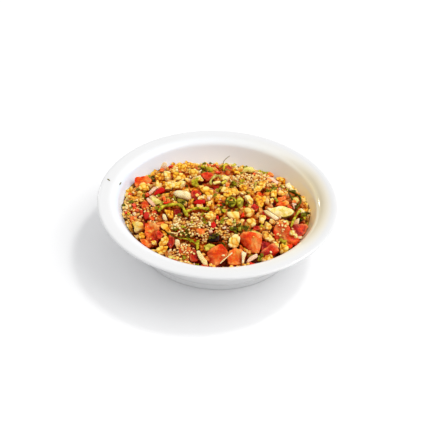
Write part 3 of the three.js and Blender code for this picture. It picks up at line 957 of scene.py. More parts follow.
    # upper right
    shown(O, 0.05, 4.4, [(240.8, 171.5), (243.4, 167.3), (248, 164.9), (252.8, 166.4), (254.9, 170.2), (251.5, 172.6), (246, 171.6), (242.6, 174.5)],
          lean=0.7, lift=2.6, seed=51, edge=1.8, sag=-0.5, rough=0.07, curve=12, axis=10)
    shown(w, 0.0, 3.4, [(231, 168.6), (235, 169.5), (239.7, 170.8), (239.3, 172.8), (234, 172.2)], lift=2.6, seed=52, lean=0.6, cuts=1)
    shown(w, 0.9, 3.0, [(230.5, 166.8), (236, 167), (238.5, 169.6), (234, 169.3)], lift=3.0, seed=50, lean=0.7, cuts=1)
    shown(W, 0.66, 6, [(218.8, 186), (224, 184.2), (229.8, 188), (227, 191), (218.8, 190.4)], lift=2.4, seed=53)
    shown(W, 0.16, 6, [(228.8, 187), (236, 186.6), (239.4, 192), (235, 195.6), (228.8, 192.6)], lift=1.8, seed=54)
    shown(W, 0.30, 6, [(237.8, 183), (243, 181.7), (247.4, 187), (243, 191.4), (238.8, 189.5)], lift=2.0, seed=55)
    shown(w, 0.10, 5, [(221.8, 192), (228, 190.8), (233.4, 194), (229, 197.5), (222.8, 196)], lift=1.8, seed=56)
    shown(T, 0.78, 3.4, [(225.3, 181.3), (229.3, 182.3), (228.8, 186.3), (225.3, 185.3)], lift=2.4, seed=57)
    shown(G, 0.20, 2.8, [(230.3, 180.3), (236, 181.2), (236.9, 184.8), (231.8, 184.9)], lift=2.0, seed=58, curve=6)
    shown(G, 0.34, 4.0, [(235.3, 197), (240, 195.2), (243.9, 198), (243.3, 205), (239, 208.3), (235.8, 203)], lift=2.4, seed=59, edge=1.5,
          sag=-0.5, curve=9, axis=75)
    strand(G, [(226.5, 203.5), (226.8, 199), (230, 196.6), (234, 198.4), (234.4, 202.8), (231, 205.6)], 0.95, lift=2.2, flat=1.2, r1=0.18)
    shown(w, 0.32, 4, [(228.5, 199.5), (232.5, 199), (233, 203.5), (229.5, 204.5)], lift=1.2, seed=60)
    shown(W, 0.96, 7, [(245.3, 194.5), (249.5, 192.7), (253.8, 199), (253.3, 204.8), (250.5, 205.4), (245.7, 199.5)], lift=2.4, seed=61,
          lobe=8, depth=0.08, cuts=2)
    shown(W, 0.10, 7.5, [(254.8, 198), (259, 193.7), (264, 196.6), (266.3, 200), (262.6, 203), (262.3, 207.8), (258.3, 207.8)], lift=2.0, seed=62)
    shown(w, 0.75, 5, [(263.8, 198), (267, 195.7), (269.8, 199), (268.3, 203.9), (264.3, 201.8)], lift=2.2, seed=63)
    shown(w, 0.85, 4.6, [(268.8, 198), (272.5, 196.7), (273.9, 200.5), (270.5, 204.5)], lift=2.0, seed=64)
    shown(T, 0.02, 5, [(250.3, 206), (254, 202.2), (258.3, 206), (256.8, 210.4), (251.8, 210.3)], lift=0.4, seed=65)
    shown(W, 0.34, 5.5, [(252.8, 186), (258, 184.7), (262.8, 188), (258, 191.4), (253.8, 189.9)], lift=2.2, seed=66)
    shown(W, 0.55, 5.5, [(256.8, 181), (262, 180.2), (265.8, 184), (262, 188.3), (257.2, 185.4)], lift=2.2, seed=67)
    shown(W, 0.28, 5.5, [(268.3, 190), (273, 188.2), (277.4, 192), (275, 197.4), (269.8, 194.8)], lift=2.0, seed=68)
    shown(T, 0.62, 4.4, [(265.3, 175.2), (268.5, 170.8), (272.2, 172.3), (273.4, 175.2), (268, 176.9)], lean=0.6, lift=2.6, seed=69)
    shown(O, 0.93, 2.4, [(265.8, 176.6), (272, 175.9), (278.3, 181.6), (276.6, 183.9), (272, 181)], lift=2.2, seed=70, curve=7, axis=-35)
    shown(W, 0.16, 5.5, [(275.8, 178), (279, 175.2), (284.4, 178), (284.8, 181.3), (279, 183.4)], lift=2.4, seed=71, lean=0.6)
    shown(O, 0.50, 3.4, [(284.3, 184), (289.5, 181.2), (292.4, 187), (287, 188.4)], lift=2.2, seed=72, curve=7, axis=-60)
    shown(w, 0.88, 4.6, [(275.8, 190), (281, 188.7), (285.9, 194), (281, 195.4), (276.8, 194.3)], lift=2.2, seed=73)
    shown(w, 0.05, 3.0, [(291, 185), (293.5, 185.2), (293.8, 189.5), (291.8, 189)], lift=1.6, seed=75)
    # right
    shown(T, 0.66, 4.0, [(273.3, 200.2), (277, 197.2), (285, 195.2), (285, 198), (278, 202.4)], lift=2.4, seed=76)
    shown(T, 0.99, 4.6, [(275.5, 203.6), (280, 201), (286, 198.8), (288.9, 203), (284, 205.6), (277, 205.6)], lift=2.4, seed=77, rough=0.1)
    shown(T, 0.45, 4.2, [(285.3, 204.4), (288.6, 203.2), (292.4, 207), (290, 209.4)], lift=2.2, seed=78, skin=90)
    shown(O, 0.99, 1.6, [(291.2, 202), (296.4, 203), (294.6, 208.9), (293.2, 207.4)], lift=2.8, seed=79)
    shown(O, 0.04, 1.8, [(290.8, 197.5), (296.6, 196.5), (298.9, 199.5), (296.2, 203.4), (292, 202.4)], lift=2.2, seed=80)
    shown(T, 0.62, 2.0, [(291.8, 199.2), (294.6, 198.6), (296, 201), (293.6, 202.6), (291.6, 201.6)], lift=3.6, seed=81)
    shown(G, 0.98, 3.4, [(266.3, 206.8), (271, 207.9), (277, 205.7), (283, 205.1), (289, 207.6), (294, 210.6), (291.2, 214.4), (285, 216.5),
                        (277, 216), (270.6, 212)], lift=2.6, seed=82, skin=-75, edge=0.7, rough=0.08, sag=0.3)
    strand(G, [(290.3, 226.6), (292.8, 220.3), (296.2, 214.2), (300.2, 209.6)], 1.0, lift=3.2, flat=0.9, r1=0.52)
    shown(O, 0.22, 2.6, [(296.2, 210.6), (301, 207.1), (305.3, 210.5), (308.6, 215.2), (305.3, 215.4), (301, 212.9)], lift=3.6, seed=83,
          curve=7, axis=-40)
    shown(O, 0.34, 2.0, [(291.3, 225), (294, 219), (299.2, 217.3), (298.8, 222.8), (295, 226.6)], lift=1.6, seed=84, curve=8, axis=60)
    shown(T, 0.06, 5, [(261.8, 210.5), (266, 211), (271.3, 216), (268.2, 219), (264.3, 217), (261.8, 214)], lift=1.2, seed=85)
    shown(O, 0.38, 3.0, [(262.6, 209.6), (266, 209.1), (277.2, 215.2), (279, 217.5), (275.5, 220.5), (266.4, 214)], lift=3.0, seed=86, curve=9,
          axis=-35, edge=1.1)
    shown(w, 0.95, 4.4, [(267.2, 220.6), (272, 218.2), (276.4, 221), (273, 224)], lift=2.4, seed=87)
    shown(T, 0.50, 9.5, [(273.6, 227), (279, 220.2), (286, 222.2), (290.8, 229.6), (300, 239.3), (295.4, 245), (281, 242.6), (275.2, 241), (273.2, 234)],
          lift=2.4, lean=0.6, seed=88, skin=-110, edge=0.6, sag=0.3, fold=(-100, 4.6, 0.5, 0.7))
    shown(w, 0.82, 4.0, [(287.2, 231), (291.5, 229.2), (294.5, 232.4), (291.5, 235.2)], lift=5.2, seed=89)
    shown(w, 0.80, 3.4, [(292.5, 233), (296.5, 233.5), (298.2, 236.6), (294.5, 237.6)], lift=5.0, seed=90)
    # painted shade: a tomato piece that lies in shade, given the darkest red
    shown(T, 0.0, 6, [(291.8, 224), (303, 222.8), (308.4, 225), (305.3, 232.4), (298, 237), (290.8, 230)], lift=0.2, seed=91)
    # bottom right
    shown(W, 0.36, 7, [(277.8, 246), (281, 242.2), (287.3, 245), (287.8, 249.8), (281, 253), (277.8, 250.3)], lift=1.8, seed=92)
    shown(T, 0.02, 6, [(260.8, 240.5), (268, 240.7), (271, 245), (266, 250), (260.8, 250)], lift=0.0, seed=93)
    shown(T, 0.03, 8.5, [(261.5, 250), (268, 244.7), (273, 242.8), (277.9, 246), (278.9, 250.3), (272, 255.6), (263, 259.3), (259, 254.6)],
          lift=1.4, lean=0.55, seed=94, skin=-60, edge=0.9, fold=(-70, 1.2, 0.7, 0.8))
    shown(T, 0.56, 10, [(238, 236.2), (243, 230.6), (261.8, 233.2), (261.9, 240), (258.8, 253), (250, 251.2), (243.6, 244)],
          lift=2.6, lean=0.55, seed=95, skin=0, edge=0.5, sag=0.3, rough=0.1, fold=(-150, 2.6, 0.6, -1.0))
    shown(W, 0.72, 5, [(261.8, 233.6), (266, 231.2), (275.3, 237.4), (274.8, 241.4), (267, 241), (262.2, 237.3)], lift=2.8, seed=96)
    shown(w, 0.80, 3.8, [(273.2, 241.5), (276, 239.7), (278.4, 244), (276.6, 247.4), (274.3, 245.8)], lift=3.0, seed=97, depth=0.06, cuts=0)
    shown(O, 0.95, 3.2, [(246.2, 260.4), (250, 254.8), (256.7, 252.2), (257.9, 256.7), (253, 259.7), (247, 262.6)], lift=1.8, seed=98, curve=8,
          axis=30, edge=1.2)
    shown(G, 0.22, 2.6, [(257.8, 254.2), (262.4, 256), (261.3, 260), (257.3, 259.6)], lift=2.0, seed=99)
    shown(T, 0.88, 8.5, [(229, 250), (236, 246.8), (242, 249.6), (245.2, 253.5), (243.4, 262.6), (236, 264.6), (228, 264), (226.8, 257)],
          lift=1.2, lean=0.55, seed=100, skin=-100, edge=0.9, fold=(-15, 2.6, 0.6, -0.8))
    shown(O, 0.55, 2.6, [(241.3, 250.4), (246, 252.6), (244.6, 256), (243.6, 262.6), (241.2, 262.6)], lift=2.4, seed=101)
    shown(W, 0.86, 6.5, [(228.8, 240), (231, 235.7), (235, 233.2), (238.8, 238), (239.4, 244), (236, 249), (231, 247.4), (228.2, 244)], lift=2.6,
          seed=102, lobe=4.2)
    shown(T, 0.58, 9.5, [(206.2, 251), (213, 245.8), (221, 243.2), (225.3, 247), (228.2, 252.5), (222, 260.6), (217, 265.3), (210, 264.8), (206.7, 258)],
          lift=1.4, lean=0.55, seed=103, skin=80, edge=1.0, sag=0.7, fold=(-160, 3.2, 0.6, -1.0))
    strand(O, [(219.5, 263), (223.5, 259.2), (227.8, 255.6), (232, 252)], 0.5, lift=2.4, r1=0.45)
    shown(O, 0.26, 3.0, [(195.3, 250), (198.7, 249.2), (206.9, 260), (207.3, 264.2), (202.8, 264), (197.2, 256.2)], lift=2.0, seed=104, curve=7,
          axis=-58, edge=1.2)
    shown(T, 0.01, 8, [(189.6, 249), (195.2, 247.6), (197.2, 255), (197.8, 260.4), (189.6, 260.4)], lift=0.6, seed=105)
    shown(T, 0.56, 9, [(179.6, 246), (186, 243.6), (190.2, 247), (191.3, 253), (187.2, 261), (182, 260.2), (177.6, 254.4)], lift=1.0, seed=106,
          skin=-20)
    shown(G, 0.60, 3.2, [(203.2, 245.6), (209, 241.2), (214.9, 245), (210, 249.4), (206.2, 250.6)], lift=2.6, seed=107, curve=6, axis=20, rough=0.4)
    shown(G, 0.44, 2.8, [(195.3, 240), (199.2, 238.7), (198.7, 248.4), (195.2, 250)], lift=2.8, seed=108, curve=4, axis=90)
    strand(G, [(179, 237.6), (186, 238.6), (192, 241), (196.4, 243.6)], 0.75, lift=2.4, r1=0.3)
    # middle
    shown(T, 0.50, 6, [(195.2, 228.2), (200, 226.6), (204.9, 231), (203.3, 235.5), (198, 236.2)], lift=2.2, seed=111, edge=2.0, sag=-0.5)
    shown(R, 0.60, 4.4, [(210.2, 222.5), (214, 220), (216.9, 224), (214, 228.6), (210.2, 227)], lift=2.2, seed=112, edge=1.3)
    shown(R, 0.35, 3.0, [(215.5, 214.8), (218, 214.5), (218.6, 219.2), (216, 220.5)], lift=0.8, seed=113)
    shown(W, 0.60, 6, [(203.7, 214), (210, 210.6), (215.9, 215), (214.3, 220), (208, 221), (204.2, 218.4)], lift=2.4, seed=114)
    shown(W, 0.46, 5.5, [(214.2, 208), (218, 205.1), (222.9, 210), (220.2, 215), (215.2, 212.8)], lift=2.2, seed=115)
    shown(W, 0.66, 6.5, [(226.2, 211.5), (232, 210.1), (238, 211.1), (243, 214), (241.2, 218), (232, 219), (227.7, 217.3)], lift=2.8, seed=116,
          lobe=7, depth=0.12)
    shown(W, 0.64, 5.5, [(222.2, 221.6), (229, 219.2), (234, 220.7), (237, 224), (234, 227), (227, 224)], lift=2.0, seed=117)
    shown(W, 0.50, 6.5, [(242.2, 209), (247, 205.6), (251.7, 208.7), (255.4, 213), (251, 217.5), (244.8, 215.3)], lift=2.4, seed=118, lobe=4.4)
    shown(W, 0.92, 6.5, [(244.7, 219), (248, 217.1), (255.7, 218.7), (257.5, 224), (251, 227), (245.8, 225)], lift=2.4, seed=119, lobe=4.4)
    shown(w, 0.72, 5, [(257.2, 216), (262, 214.1), (265.4, 218), (262, 224), (257.8, 222.4)], lift=2.2, seed=120)
    shown(w, 0.62, 5, [(262.2, 222.4), (268, 221.1), (273, 226), (270, 230), (264.2, 227.4)], lift=2.0, seed=121)
    shown(G, 0.70, 2.2, [(249.7, 230), (256, 230.1), (262.4, 234), (259, 236), (251.8, 232.4)], lift=2.8, seed=122, curve=6, axis=-20)
    shown(T, 0.02, 4.0, [(252.2, 226.4), (257.7, 225.2), (259.3, 229.3), (253.8, 230)], lift=0.6, seed=123)
    shown(G, 0.72, 2.4, [(282.3, 220), (287, 219.2), (289.6, 222.3), (287, 224.6), (283, 222.6)], lift=2.4, seed=124)
    shown(w, 0.80, 4.0, [(182.8, 202.4), (184.3, 200.2), (186.4, 201.6), (185.6, 205.4), (183.4, 205)], lift=2.0, seed=125, cuts=1)
    shown(w, 0.40, 4.2, [(205.2, 201), (209.5, 200.2), (211.4, 204), (207, 206)], lift=1.8, seed=126)
    shown(w, 0.22, 4.2, [(214.3, 195), (218.8, 194.7), (218.3, 200.3), (214.8, 201)], lift=1.6, seed=127)
    # lower left
    shown(T, 0.60, 4.4, [(129.6, 216), (136, 214.8), (136.4, 220.3), (130.8, 221.4)], lift=1.2, seed=131)
    shown(W, 0.70, 6.5, [(131.8, 221.5), (137.5, 219.2), (141.8, 224), (142.9, 229.8), (137, 231.5), (131.8, 229.4)], lift=2.4, seed=132,
          lobe=6.5, depth=0.1)
    shown(R, 0.85, 4.0, [(142.2, 214.6), (145, 210.7), (148.8, 211.8), (149.4, 217.8), (144.3, 219)], lift=2.2, seed=133, edge=1.2)
    shown(T, 0.72, 9, [(144.2, 222.5), (150, 221.2), (158, 224.7), (158.9, 231), (159.4, 237), (156.6, 243.4), (152, 244), (146.2, 241.4),
                      (144.2, 232)], lift=1.8, lean=0.5, seed=134, rough=0.3, edge=0.9, skin=180, mid=0.34,
          fold=(-110, 4.4, 0.4, -0.9))
    shown(T, 0.64, 5, [(139.2, 238.5), (147, 239.8), (152.7, 243.7), (148, 246.6), (141.7, 243.4)], lift=1.4, seed=135)
    shown(w, 0.86, 3.6, [(150.3, 240), (153.6, 238.7), (156.1, 242.5), (153, 244.5)], lift=4.0, seed=136, cuts=1)
    shown(T, 0.03, 5, [(154.8, 231.5), (158, 229.2), (163.4, 234), (160.2, 239.4), (156.2, 236.3)], lift=2.2, seed=137)
    shown(W, 0.66, 5, [(158.2, 225), (162, 222.1), (166.3, 224.5), (170.4, 231), (168.7, 234), (165, 230.3), (162, 227.6)], lift=3.0, seed=138,
          lobe=7, depth=0.08, cuts=1)
    shown(w, 0.20, 4, [(159.8, 228), (164, 230.4), (168.3, 234.8), (164, 235.6)], lift=1.6, seed=139, cuts=1)
    shown(W, 0.64, 5.5, [(157.8, 244), (160, 239.2), (165, 235.7), (168.9, 236.4), (167.8, 241.8), (163, 245.5), (158.8, 246.4)], lift=2.2, seed=140)
    shown(W, 0.97, 6, [(154.2, 250), (157, 246.7), (163.5, 245.1), (167.4, 248.5), (165.2, 254.1), (160, 253.1)], lift=2.0, seed=141, lobe=3.8)
    shown(w, 0.22, 5, [(136.7, 233), (141, 231.2), (146.4, 234.5), (146.3, 238.4), (139.7, 238)], lift=1.6, seed=142)
    shown(T, 0.02, 5.5, [(168.7, 234.5), (173.7, 235.8), (174.3, 243), (170, 248), (166.6, 243)], lift=1.0, seed=143)
    shown(O, 0.36, 2.4, [(174.3, 238), (178.7, 239.2), (180.9, 246), (177, 248), (173.7, 243)], lift=1.8, seed=144, curve=6, axis=75)
    shown(w, 0.48, 4.4, [(152.8, 203.4), (157.7, 205.3), (155.2, 211), (151.2, 209.4)], lift=2.2, seed=145)
    shown(T, 0.02, 5, [(142.2, 219.5), (144.8, 220), (145.2, 229), (142.8, 228.6)], lift=0.0, seed=146)
    # a bit of dark olive in the middle
    d, tris = ball(8)
    c = cast(213.3, 237.6, 1.4)
    p = d * facets(d, 14, 0.12, 7, 9)[:, None] * np.array([4.6, 3.7, 3.0])
    put("olive", (p, tris, np.clip(0.5 + 0.5 * d[:, 2], 0, 1)), c[0], c[1], c[2], np.eye(3), 0.5, 0.5, True)
    shown(O, 0.95, 1.8, [(208.3, 230), (211, 229), (212.6, 231.6), (209.6, 232.8)], lift=1.8, seed=147)
    shown(O, 0.95, 1.6, [(209.6, 236), (211.6, 235.4), (212, 237.6), (210, 238)], lift=3.4, seed=148)


def leaves_by_pixel():
    """Leaves and chopped herb where the picture shows them."""
    g = np.random.default_rng(3)
    spots = [  # x, y, spread, count, size, tone
        (150.5, 177.5, 1.3, 3, 4.6, 0.15), (202, 168, 3.4, 12, 4.6, 0.35), (207.5, 168.5, 2.4, 6, 4.4, 0.75),
        (195, 181.5, 2.2, 5, 3.6, 0.7), (233, 184, 2.4, 6, 4.0, 0.35), (229, 204, 4.0, 12, 4.0, 0.2),
        (303, 216.2, 1.4, 3, 6.4, 0.12), (307, 215, 1.2, 3, 5.6, 0.2), (300.5, 219.5, 1.0, 2, 4.6, 0.1),
        (216, 238, 3.6, 13, 4.2, 0.1), (210, 240, 3.0, 7, 4.0, 0.15), (185, 233, 4.5, 12, 3.8, 0.3),
        (176, 228, 4.0, 7, 3.4, 0.35), (240, 226, 7.0, 16, 3.8, 0.3), (232, 229, 3.5, 7, 3.4, 0.25),
        (268, 191, 3.0, 5, 3.2, 0.4), (274, 186, 2.0, 4, 3.6, 0.3), (294, 196, 3.0, 4, 3.4, 0.3),
        (222, 211, 3.0, 5, 3.2, 0.4), (206, 209, 3.0, 4, 3.2, 0.4), (157, 211, 2.5, 5, 3.6, 0.35),
        (184.5, 203, 2.6, 6, 4.2, 0.15), (260.5, 257, 1.2, 3, 3.4, 0.25), (255, 236, 1.0, 1, 3.0, 0.3),
        (189, 242.5, 3.0, 5, 3.4, 0.4), (222, 246, 2.0, 3, 3.4, 0.2), (143, 195, 4.0, 4, 3.2, 0.4)]
    for x, y, spread, count, size, tone in spots:
        for _ in range(count):
            c = cast(x + g.normal() * spread * 0.6, y + g.normal() * spread * 0.42, 1.0)
            leaf(c[0], c[1], size * g.uniform(0.7, 1.15), tone, g, 0.55)
    # the thin curled leaf edge at the far right
    loop = [(287.5, 190), (291.5, 191.4), (296, 193.5), (299.6, 197), (300.4, 201), (298.5, 204.4), (295.5, 208.5)]
    strand("parsley", loop, 0.75, lift=2.4, flat=1.5, sides=6, r1=0.15, r2=0.5, keep=True)
    strand("parsley", [(288, 192), (290.5, 196), (292.5, 200.5), (295.5, 208)], 0.7, lift=2.2, flat=1.3, sides=6, r1=0.15, keep=True)
    # dill: one thin stem that leans back over the wall, with a shorter side shoot
    stem = [(222.4, 170.5, 44.6), (222.5, 167, 45.6), (222.4, 163.5, 46.5), (223.4, 160.4, 47.0), (226.2, 157.6, 47.3), (229.6, 155.2, 47.4)]
    path = np.array([at_height(*q) for q in stem])
    t = np.linspace(0, 5, 26)
    path = np.stack([np.interp(t, np.arange(6), path[:, k]) for k in range(3)], 1)
    for _ in range(3):
        path[1:-1] = 0.25 * path[:-2] + 0.5 * path[1:-1] + 0.25 * path[2:]
    put("herb_stems", make_tube(path, np.linspace(0.42, 0.22, len(path)), 6), 0, 0, 0, np.eye(3), 0.25, 0.4, True)
    side = np.array([at_height(*q) for q in [(223, 170, 44.8), (223.4, 167, 45.8), (224, 164.4, 46.4), (225.2, 162, 46.8)]])
    put("herb_stems", make_tube(side, [0.7, 0.75, 0.6, 0.4], 7), 0, 0, 0, np.eye(3), 0.95, 0.6, True)
    strand("herb_stems", [(241, 227.5), (246, 229.5), (251.5, 229.6)], 0.5, lift=2.4, sides=6, r1=0.3, keep=True)
    strand("herb_stems", [(236, 224.8), (241, 226.8), (247, 231.2)], 0.5, lift=2.2, sides=6, r1=0.2, keep=True)
    strand("herb_stems", [(166.5, 232), (172, 235.2), (178.5, 236.6), (184.5, 236.2)], 0.5, lift=2.4, sides=6, r1=0.15, keep=True)


def leaf(x, y, size, tone, g, quantile=0.6, kind="parsley"):
    shape = make_leaf(size, int(g.integers(1 << 30)), lobes=int(g.integers(2, 5)), curl=g.uniform(0.4, 1.1))
    a = g.uniform(0, 2 * math.pi)
    m = frame_on(unit([g.normal() * 0.28, -0.12 + g.normal() * 0.28, 1.0]), [math.cos(a), math.sin(a), 0])
    p = shape[0] @ m.T
    z = drop(p, np.arange(len(p)) >= len(p) // 2, x, y, quantile)
    h, t = mound(x, y)
    if t > 1.03 or z > h + 4.5:
        return
    put(kind, (p, shape[1], shape[2]), x, y, z + 0.1, np.eye(3), np.clip(tone + g.normal() * 0.08, 0, 1), None)


# ---------------------------------------------------------------- pieces that fill the heap
def spot(g, limit=0.985):
    for _ in range(50):
        a, r = g.uniform(0, 2 * math.pi), 80 * math.sqrt(g.uniform())
        x, y = r * math.cos(a), r * math.sin(a)
        _, t = mound(x, y)
        if t < limit:
            return x, y
    return 0.0, 0.0


def local_mean(x, y, reach=3):
    i, j = int((x + SPAN) / CELL), int((y + SPAN) / CELL)
    sl = (slice(i - reach, i + reach + 1), slice(j - reach, j + reach + 1))
    return H[sl].mean(), TARGET[sl].mean(), KEEP[sl].mean()


def red_share(px, py):
    """Tomato lies mostly at the front and at the left."""
    return 0.012 + 0.14 * float(smooth((py - 222) / 22)) + 0.20 * float(smooth((166 - px) / 22) * smooth((py - 196) / 16))


def random_shape(g, size, x, y, coarse=False):
    """A random piece of about the given size, in mm, and its kind. A coarse one lies low in the heap."""
    u, seed = g.uniform(), int(g.integers(1 << 30))
    s = size
    h, _ = mound(x, y)
    px, py = pixel_of(np.array([x]), np.array([y]), np.array([float(h)]))
    red = red_share(px[0], py[0])
    if u > 0.15 + red:
        lx = s * g.uniform(1.0, 1.4)
        kind = "walnut_halves" if lx > 9.6 else "walnut_pieces" if lx > 7.4 else "walnut_bits"
        f = 4 if coarse else 7 if lx > 7.5 else 6 if lx > 5 else 5
        kind = "walnut_halves" if coarse and lx > 9 else kind
        tone = g.uniform() ** 0.8
        return kind, make_walnut(lx, s * g.uniform(0.65, 1.0), s * g.uniform(0.55, 0.8), f, seed,
                                 lobe=float(np.clip(g.uniform(0.32, 0.46) * lx, 2.2, 4.0)), depth=g.uniform(0.12, 0.2), cuts=int(g.integers(2, 6)) + (2 if lx < 7 else 0),
                                 arch=0 if g.uniform() < 0.75 else s * g.uniform(0.8, 1.6)), tone
    if u > 0.15:
        n = int(g.integers(4, 6))
        a = np.sort(g.uniform(0, 0.5, n) + np.arange(n)) / n * 2 * math.pi
        poly = np.stack([s * 0.66 * np.cos(a), s * g.uniform(0.42, 0.62) * np.sin(a)], 1)
        return "tomato", make_prism(poly, s * g.uniform(0.5, 0.8), seed, edge=0.5, skin=g.uniform(0, 360),
                                    fold=(g.uniform(0, 360), s * g.uniform(-0.1, 0.2), g.uniform(0.2, 0.6), 0.0)), g.uniform(0.25, 0.95)
    if u > 0.12:
        return "red_pepper", make_slab(s * g.uniform(0.9, 1.3), s * g.uniform(0.45, 0.65), s * 0.34, seed,
                                       across=s * 0.9, r=s * 0.13), g.uniform(0, 0.6)
    if u > 0.05:
        return "green_pepper", make_slab(s * g.uniform(0.9, 1.5), s * g.uniform(0.3, 0.5), s * 0.24, seed,
                                         across=s * 0.7, along=s * g.uniform(1.0, 3.0)), g.uniform(0.15, 0.9)
    return "onion", make_slab(s * g.uniform(0.8, 1.2), s * g.uniform(0.45, 0.7), s * 0.24, seed, across=s * 0.8,
                              along=s * g.uniform(1.2, 3.0)), g.uniform(0.3, 1.0)


def fill(count, size, seed, want, quantile, rise, coarse=False, may_cover=0.03):
    """Pieces laid where the heap is still at least want below its level; their tops end between the two rises."""
    g = np.random.default_rng(seed)
    made = 0
    for _ in range(count):
        best, where = 0, None
        for _ in range(9):
            x, y = spot(g)
            h, target, kept = local_mean(x, y)
            if kept > 0.3:
                continue
            if target - h > best:
                best, where = target - h, (x, y)
        if where is None or best < want:
            continue
        x, y = where
        s = g.uniform(*size)
        kind, shape, r1 = random_shape(g, s, x, y, coarse)
        a = g.uniform(0, 2 * math.pi)
        n = slope_normal(x, y) + np.array([g.normal() * 0.4, g.normal() * 0.4 - 0.1, 0])
        m = frame_on(n, [math.cos(a), math.sin(a), 0], g.normal() * 0.25, g.normal() * 0.4)
        p = shape[0] @ m.T
        low = p[:, 2] < np.median(p[:, 2])
        z = drop(p, low, x, y, quantile)
        top = z + p[:, 2].max()
        # it may not stand far over the heap, nor cover a piece that has its own place
        h, _ = mound(x, y)
        most = h + g.uniform(*rise)
        if top > most:
            z -= top - most
        i, j = cells(p + np.array([x, y, 0]))
        covers = KEEP[i, j] & (p[:, 2] + z > H[i, j] - 0.2)
        if covers.mean() > may_cover:
            continue
        put(kind, (p, shape[1], shape[2]), x, y, z, np.eye(3), r1, None)
        made += 1
    return made


# how much of each fine thing lies where, by the picture: x, y, spread x, spread y, weight
GRAIN_SPOTS = [(189, 222, 10, 8, 1.0), (181, 231, 7, 4, 0.7), (224, 229, 8, 5, 1.0), (214, 226, 5, 4, 0.5), (184, 249, 6, 6, 0.7),
               (152, 215, 3, 6, 0.6), (284, 230, 6, 4, 0.7), (133, 211, 7, 9, 0.8), (252, 178, 15, 6, 0.5), (202, 236, 5, 4, 0.5)]
WARM_SPOTS = [(131, 214, 9, 10, 1.0), (148, 222, 10, 12, 0.7), (183, 250, 10, 8, 0.9), (286, 228, 10, 8, 0.7)]
CRUMB_SPOTS = [(131, 214, 8, 9, 1.0), (146, 208, 7, 7, 0.6), (183, 249, 8, 6, 0.8), (240, 176, 16, 6, 0.14), (262, 184, 14, 8, 0.10),
               (190, 222, 12, 9, 0.3), (225, 228, 9, 6, 0.4)]


def weight(x, y, spots):
    h, _ = mound(x, y)
    px, py = pixel_of(np.array([x]), np.array([y]), np.array([float(h)]))
    return sum(k * math.exp(-((px[0] - a) / b) ** 2 - ((py[0] - c) / d) ** 2) for a, c, b, d, k in spots)


def pick(g, spots, even):
    """A place on the heap, in one of the clusters or, now and then, anywhere."""
    if g.uniform() < even:
        return spot(g, 0.99)
    w = np.array([k[2] * k[3] * k[4] for k in spots])
    a, c, b, d, _ = spots[g.choice(len(spots), p=w / w.sum())]
    q = cast(a + g.normal() * b * 0.68, c + g.normal() * d * 0.68, 1.0)
    return q[0], q[1]


FIRM = []


def scatter(kind, count, seed, make, quantile, spots, even=0.1, on_heroes=0.12, ceiling=2.6, tone=None):
    g = np.random.default_rng(seed)
    made = tries = 0
    while made < count and tries < count * 6:
        tries += 1
        x, y = pick(g, spots, even)
        if math.hypot(x, y) > 82:
            continue
        i, j = int((x + SPAN) / CELL), int((y + SPAN) / CELL)
        if KEEP[i, j] and g.uniform() > on_heroes:
            continue
        # small things roll to the lowest place near by
        if g.uniform() < 0.75:
            sl = H[i - 3:i + 4, j - 3:j + 4]
            k = np.unravel_index(np.argmin(sl), sl.shape)
            x, y = x + (k[0] - 3) * CELL * 0.8, y + (k[1] - 3) * CELL * 0.8
        shape = make(g)
        a = g.uniform(0, 2 * math.pi)
        m = frame_on([g.normal() * 0.4, g.normal() * 0.4, 1.0], [math.cos(a), math.sin(a), 0])
        p = shape[0] @ m.T
        z = drop(p, p[:, 2] < 0, x, y, quantile)
        h, t = mound(x, y)
        if t > 1 or z + p[:, 2].max() > h + ceiling + (3.0 if KEEP[i, j] else 0):
            continue
        # small things lie at most about one deep on what is there
        i, j = int((x + SPAN) / CELL), int((y + SPAN) / CELL)
        if z > np.median(FIRM[0][i - 1:i + 2, j - 1:j + 2]) + 1.5:
            continue
        put(kind, (p, shape[1], shape[2]), x, y, z, np.eye(3), (tone(x, y, g) if tone else None), None)
        made += 1
    return made


def bits(count, seed, kinds, size, spots_weight):
    """Small flat bits of pepper, onion and tomato between the nuts."""
    g = np.random.default_rng(seed)
    made = tries = 0
    while made < count and tries < count * 10:
        tries += 1
        x, y = spot(g, 0.985)
        i, j = int((x + SPAN) / CELL), int((y + SPAN) / CELL)
        if KEEP[i, j] and g.uniform() > 0.12:
            continue
        if g.uniform() > spots_weight(x, y):
            continue
        s = g.uniform(*size)
        kind = kinds[int(g.integers(len(kinds)))]
        if kind == "tomato":
            p, f, m_ = make_prism(np.array([[0.6, 0], [0.1, 0.5], [-0.6, 0.25], [-0.35, -0.45], [0.3, -0.5]]) * s
                                  * g.uniform(0.8, 1.1, (5, 1)), s * 0.5, int(g.integers(1 << 30)), edge=0.5, spacing=0.9, skin=g.uniform(0, 360))
        else:
            p, f, m_ = make_slab(s * g.uniform(0.9, 1.5), s * g.uniform(0.4, 0.7), s * 0.3, int(g.integers(1 << 30)), step=0.9, across=s)
        a = g.uniform(0, 2 * math.pi)
        p = p @ frame_on([g.normal() * 0.4, g.normal() * 0.4 - 0.1, 1.0], [math.cos(a), math.sin(a), 0]).T
        z = drop(p, p[:, 2] < np.median(p[:, 2]), x, y, 0.5)
        h, t = mound(x, y)
        if z + p[:, 2].max() > h + 2.8:
            continue
        put(kind, (p, f, m_), x, y, z, np.eye(3), None, None)
        made += 1
    return made


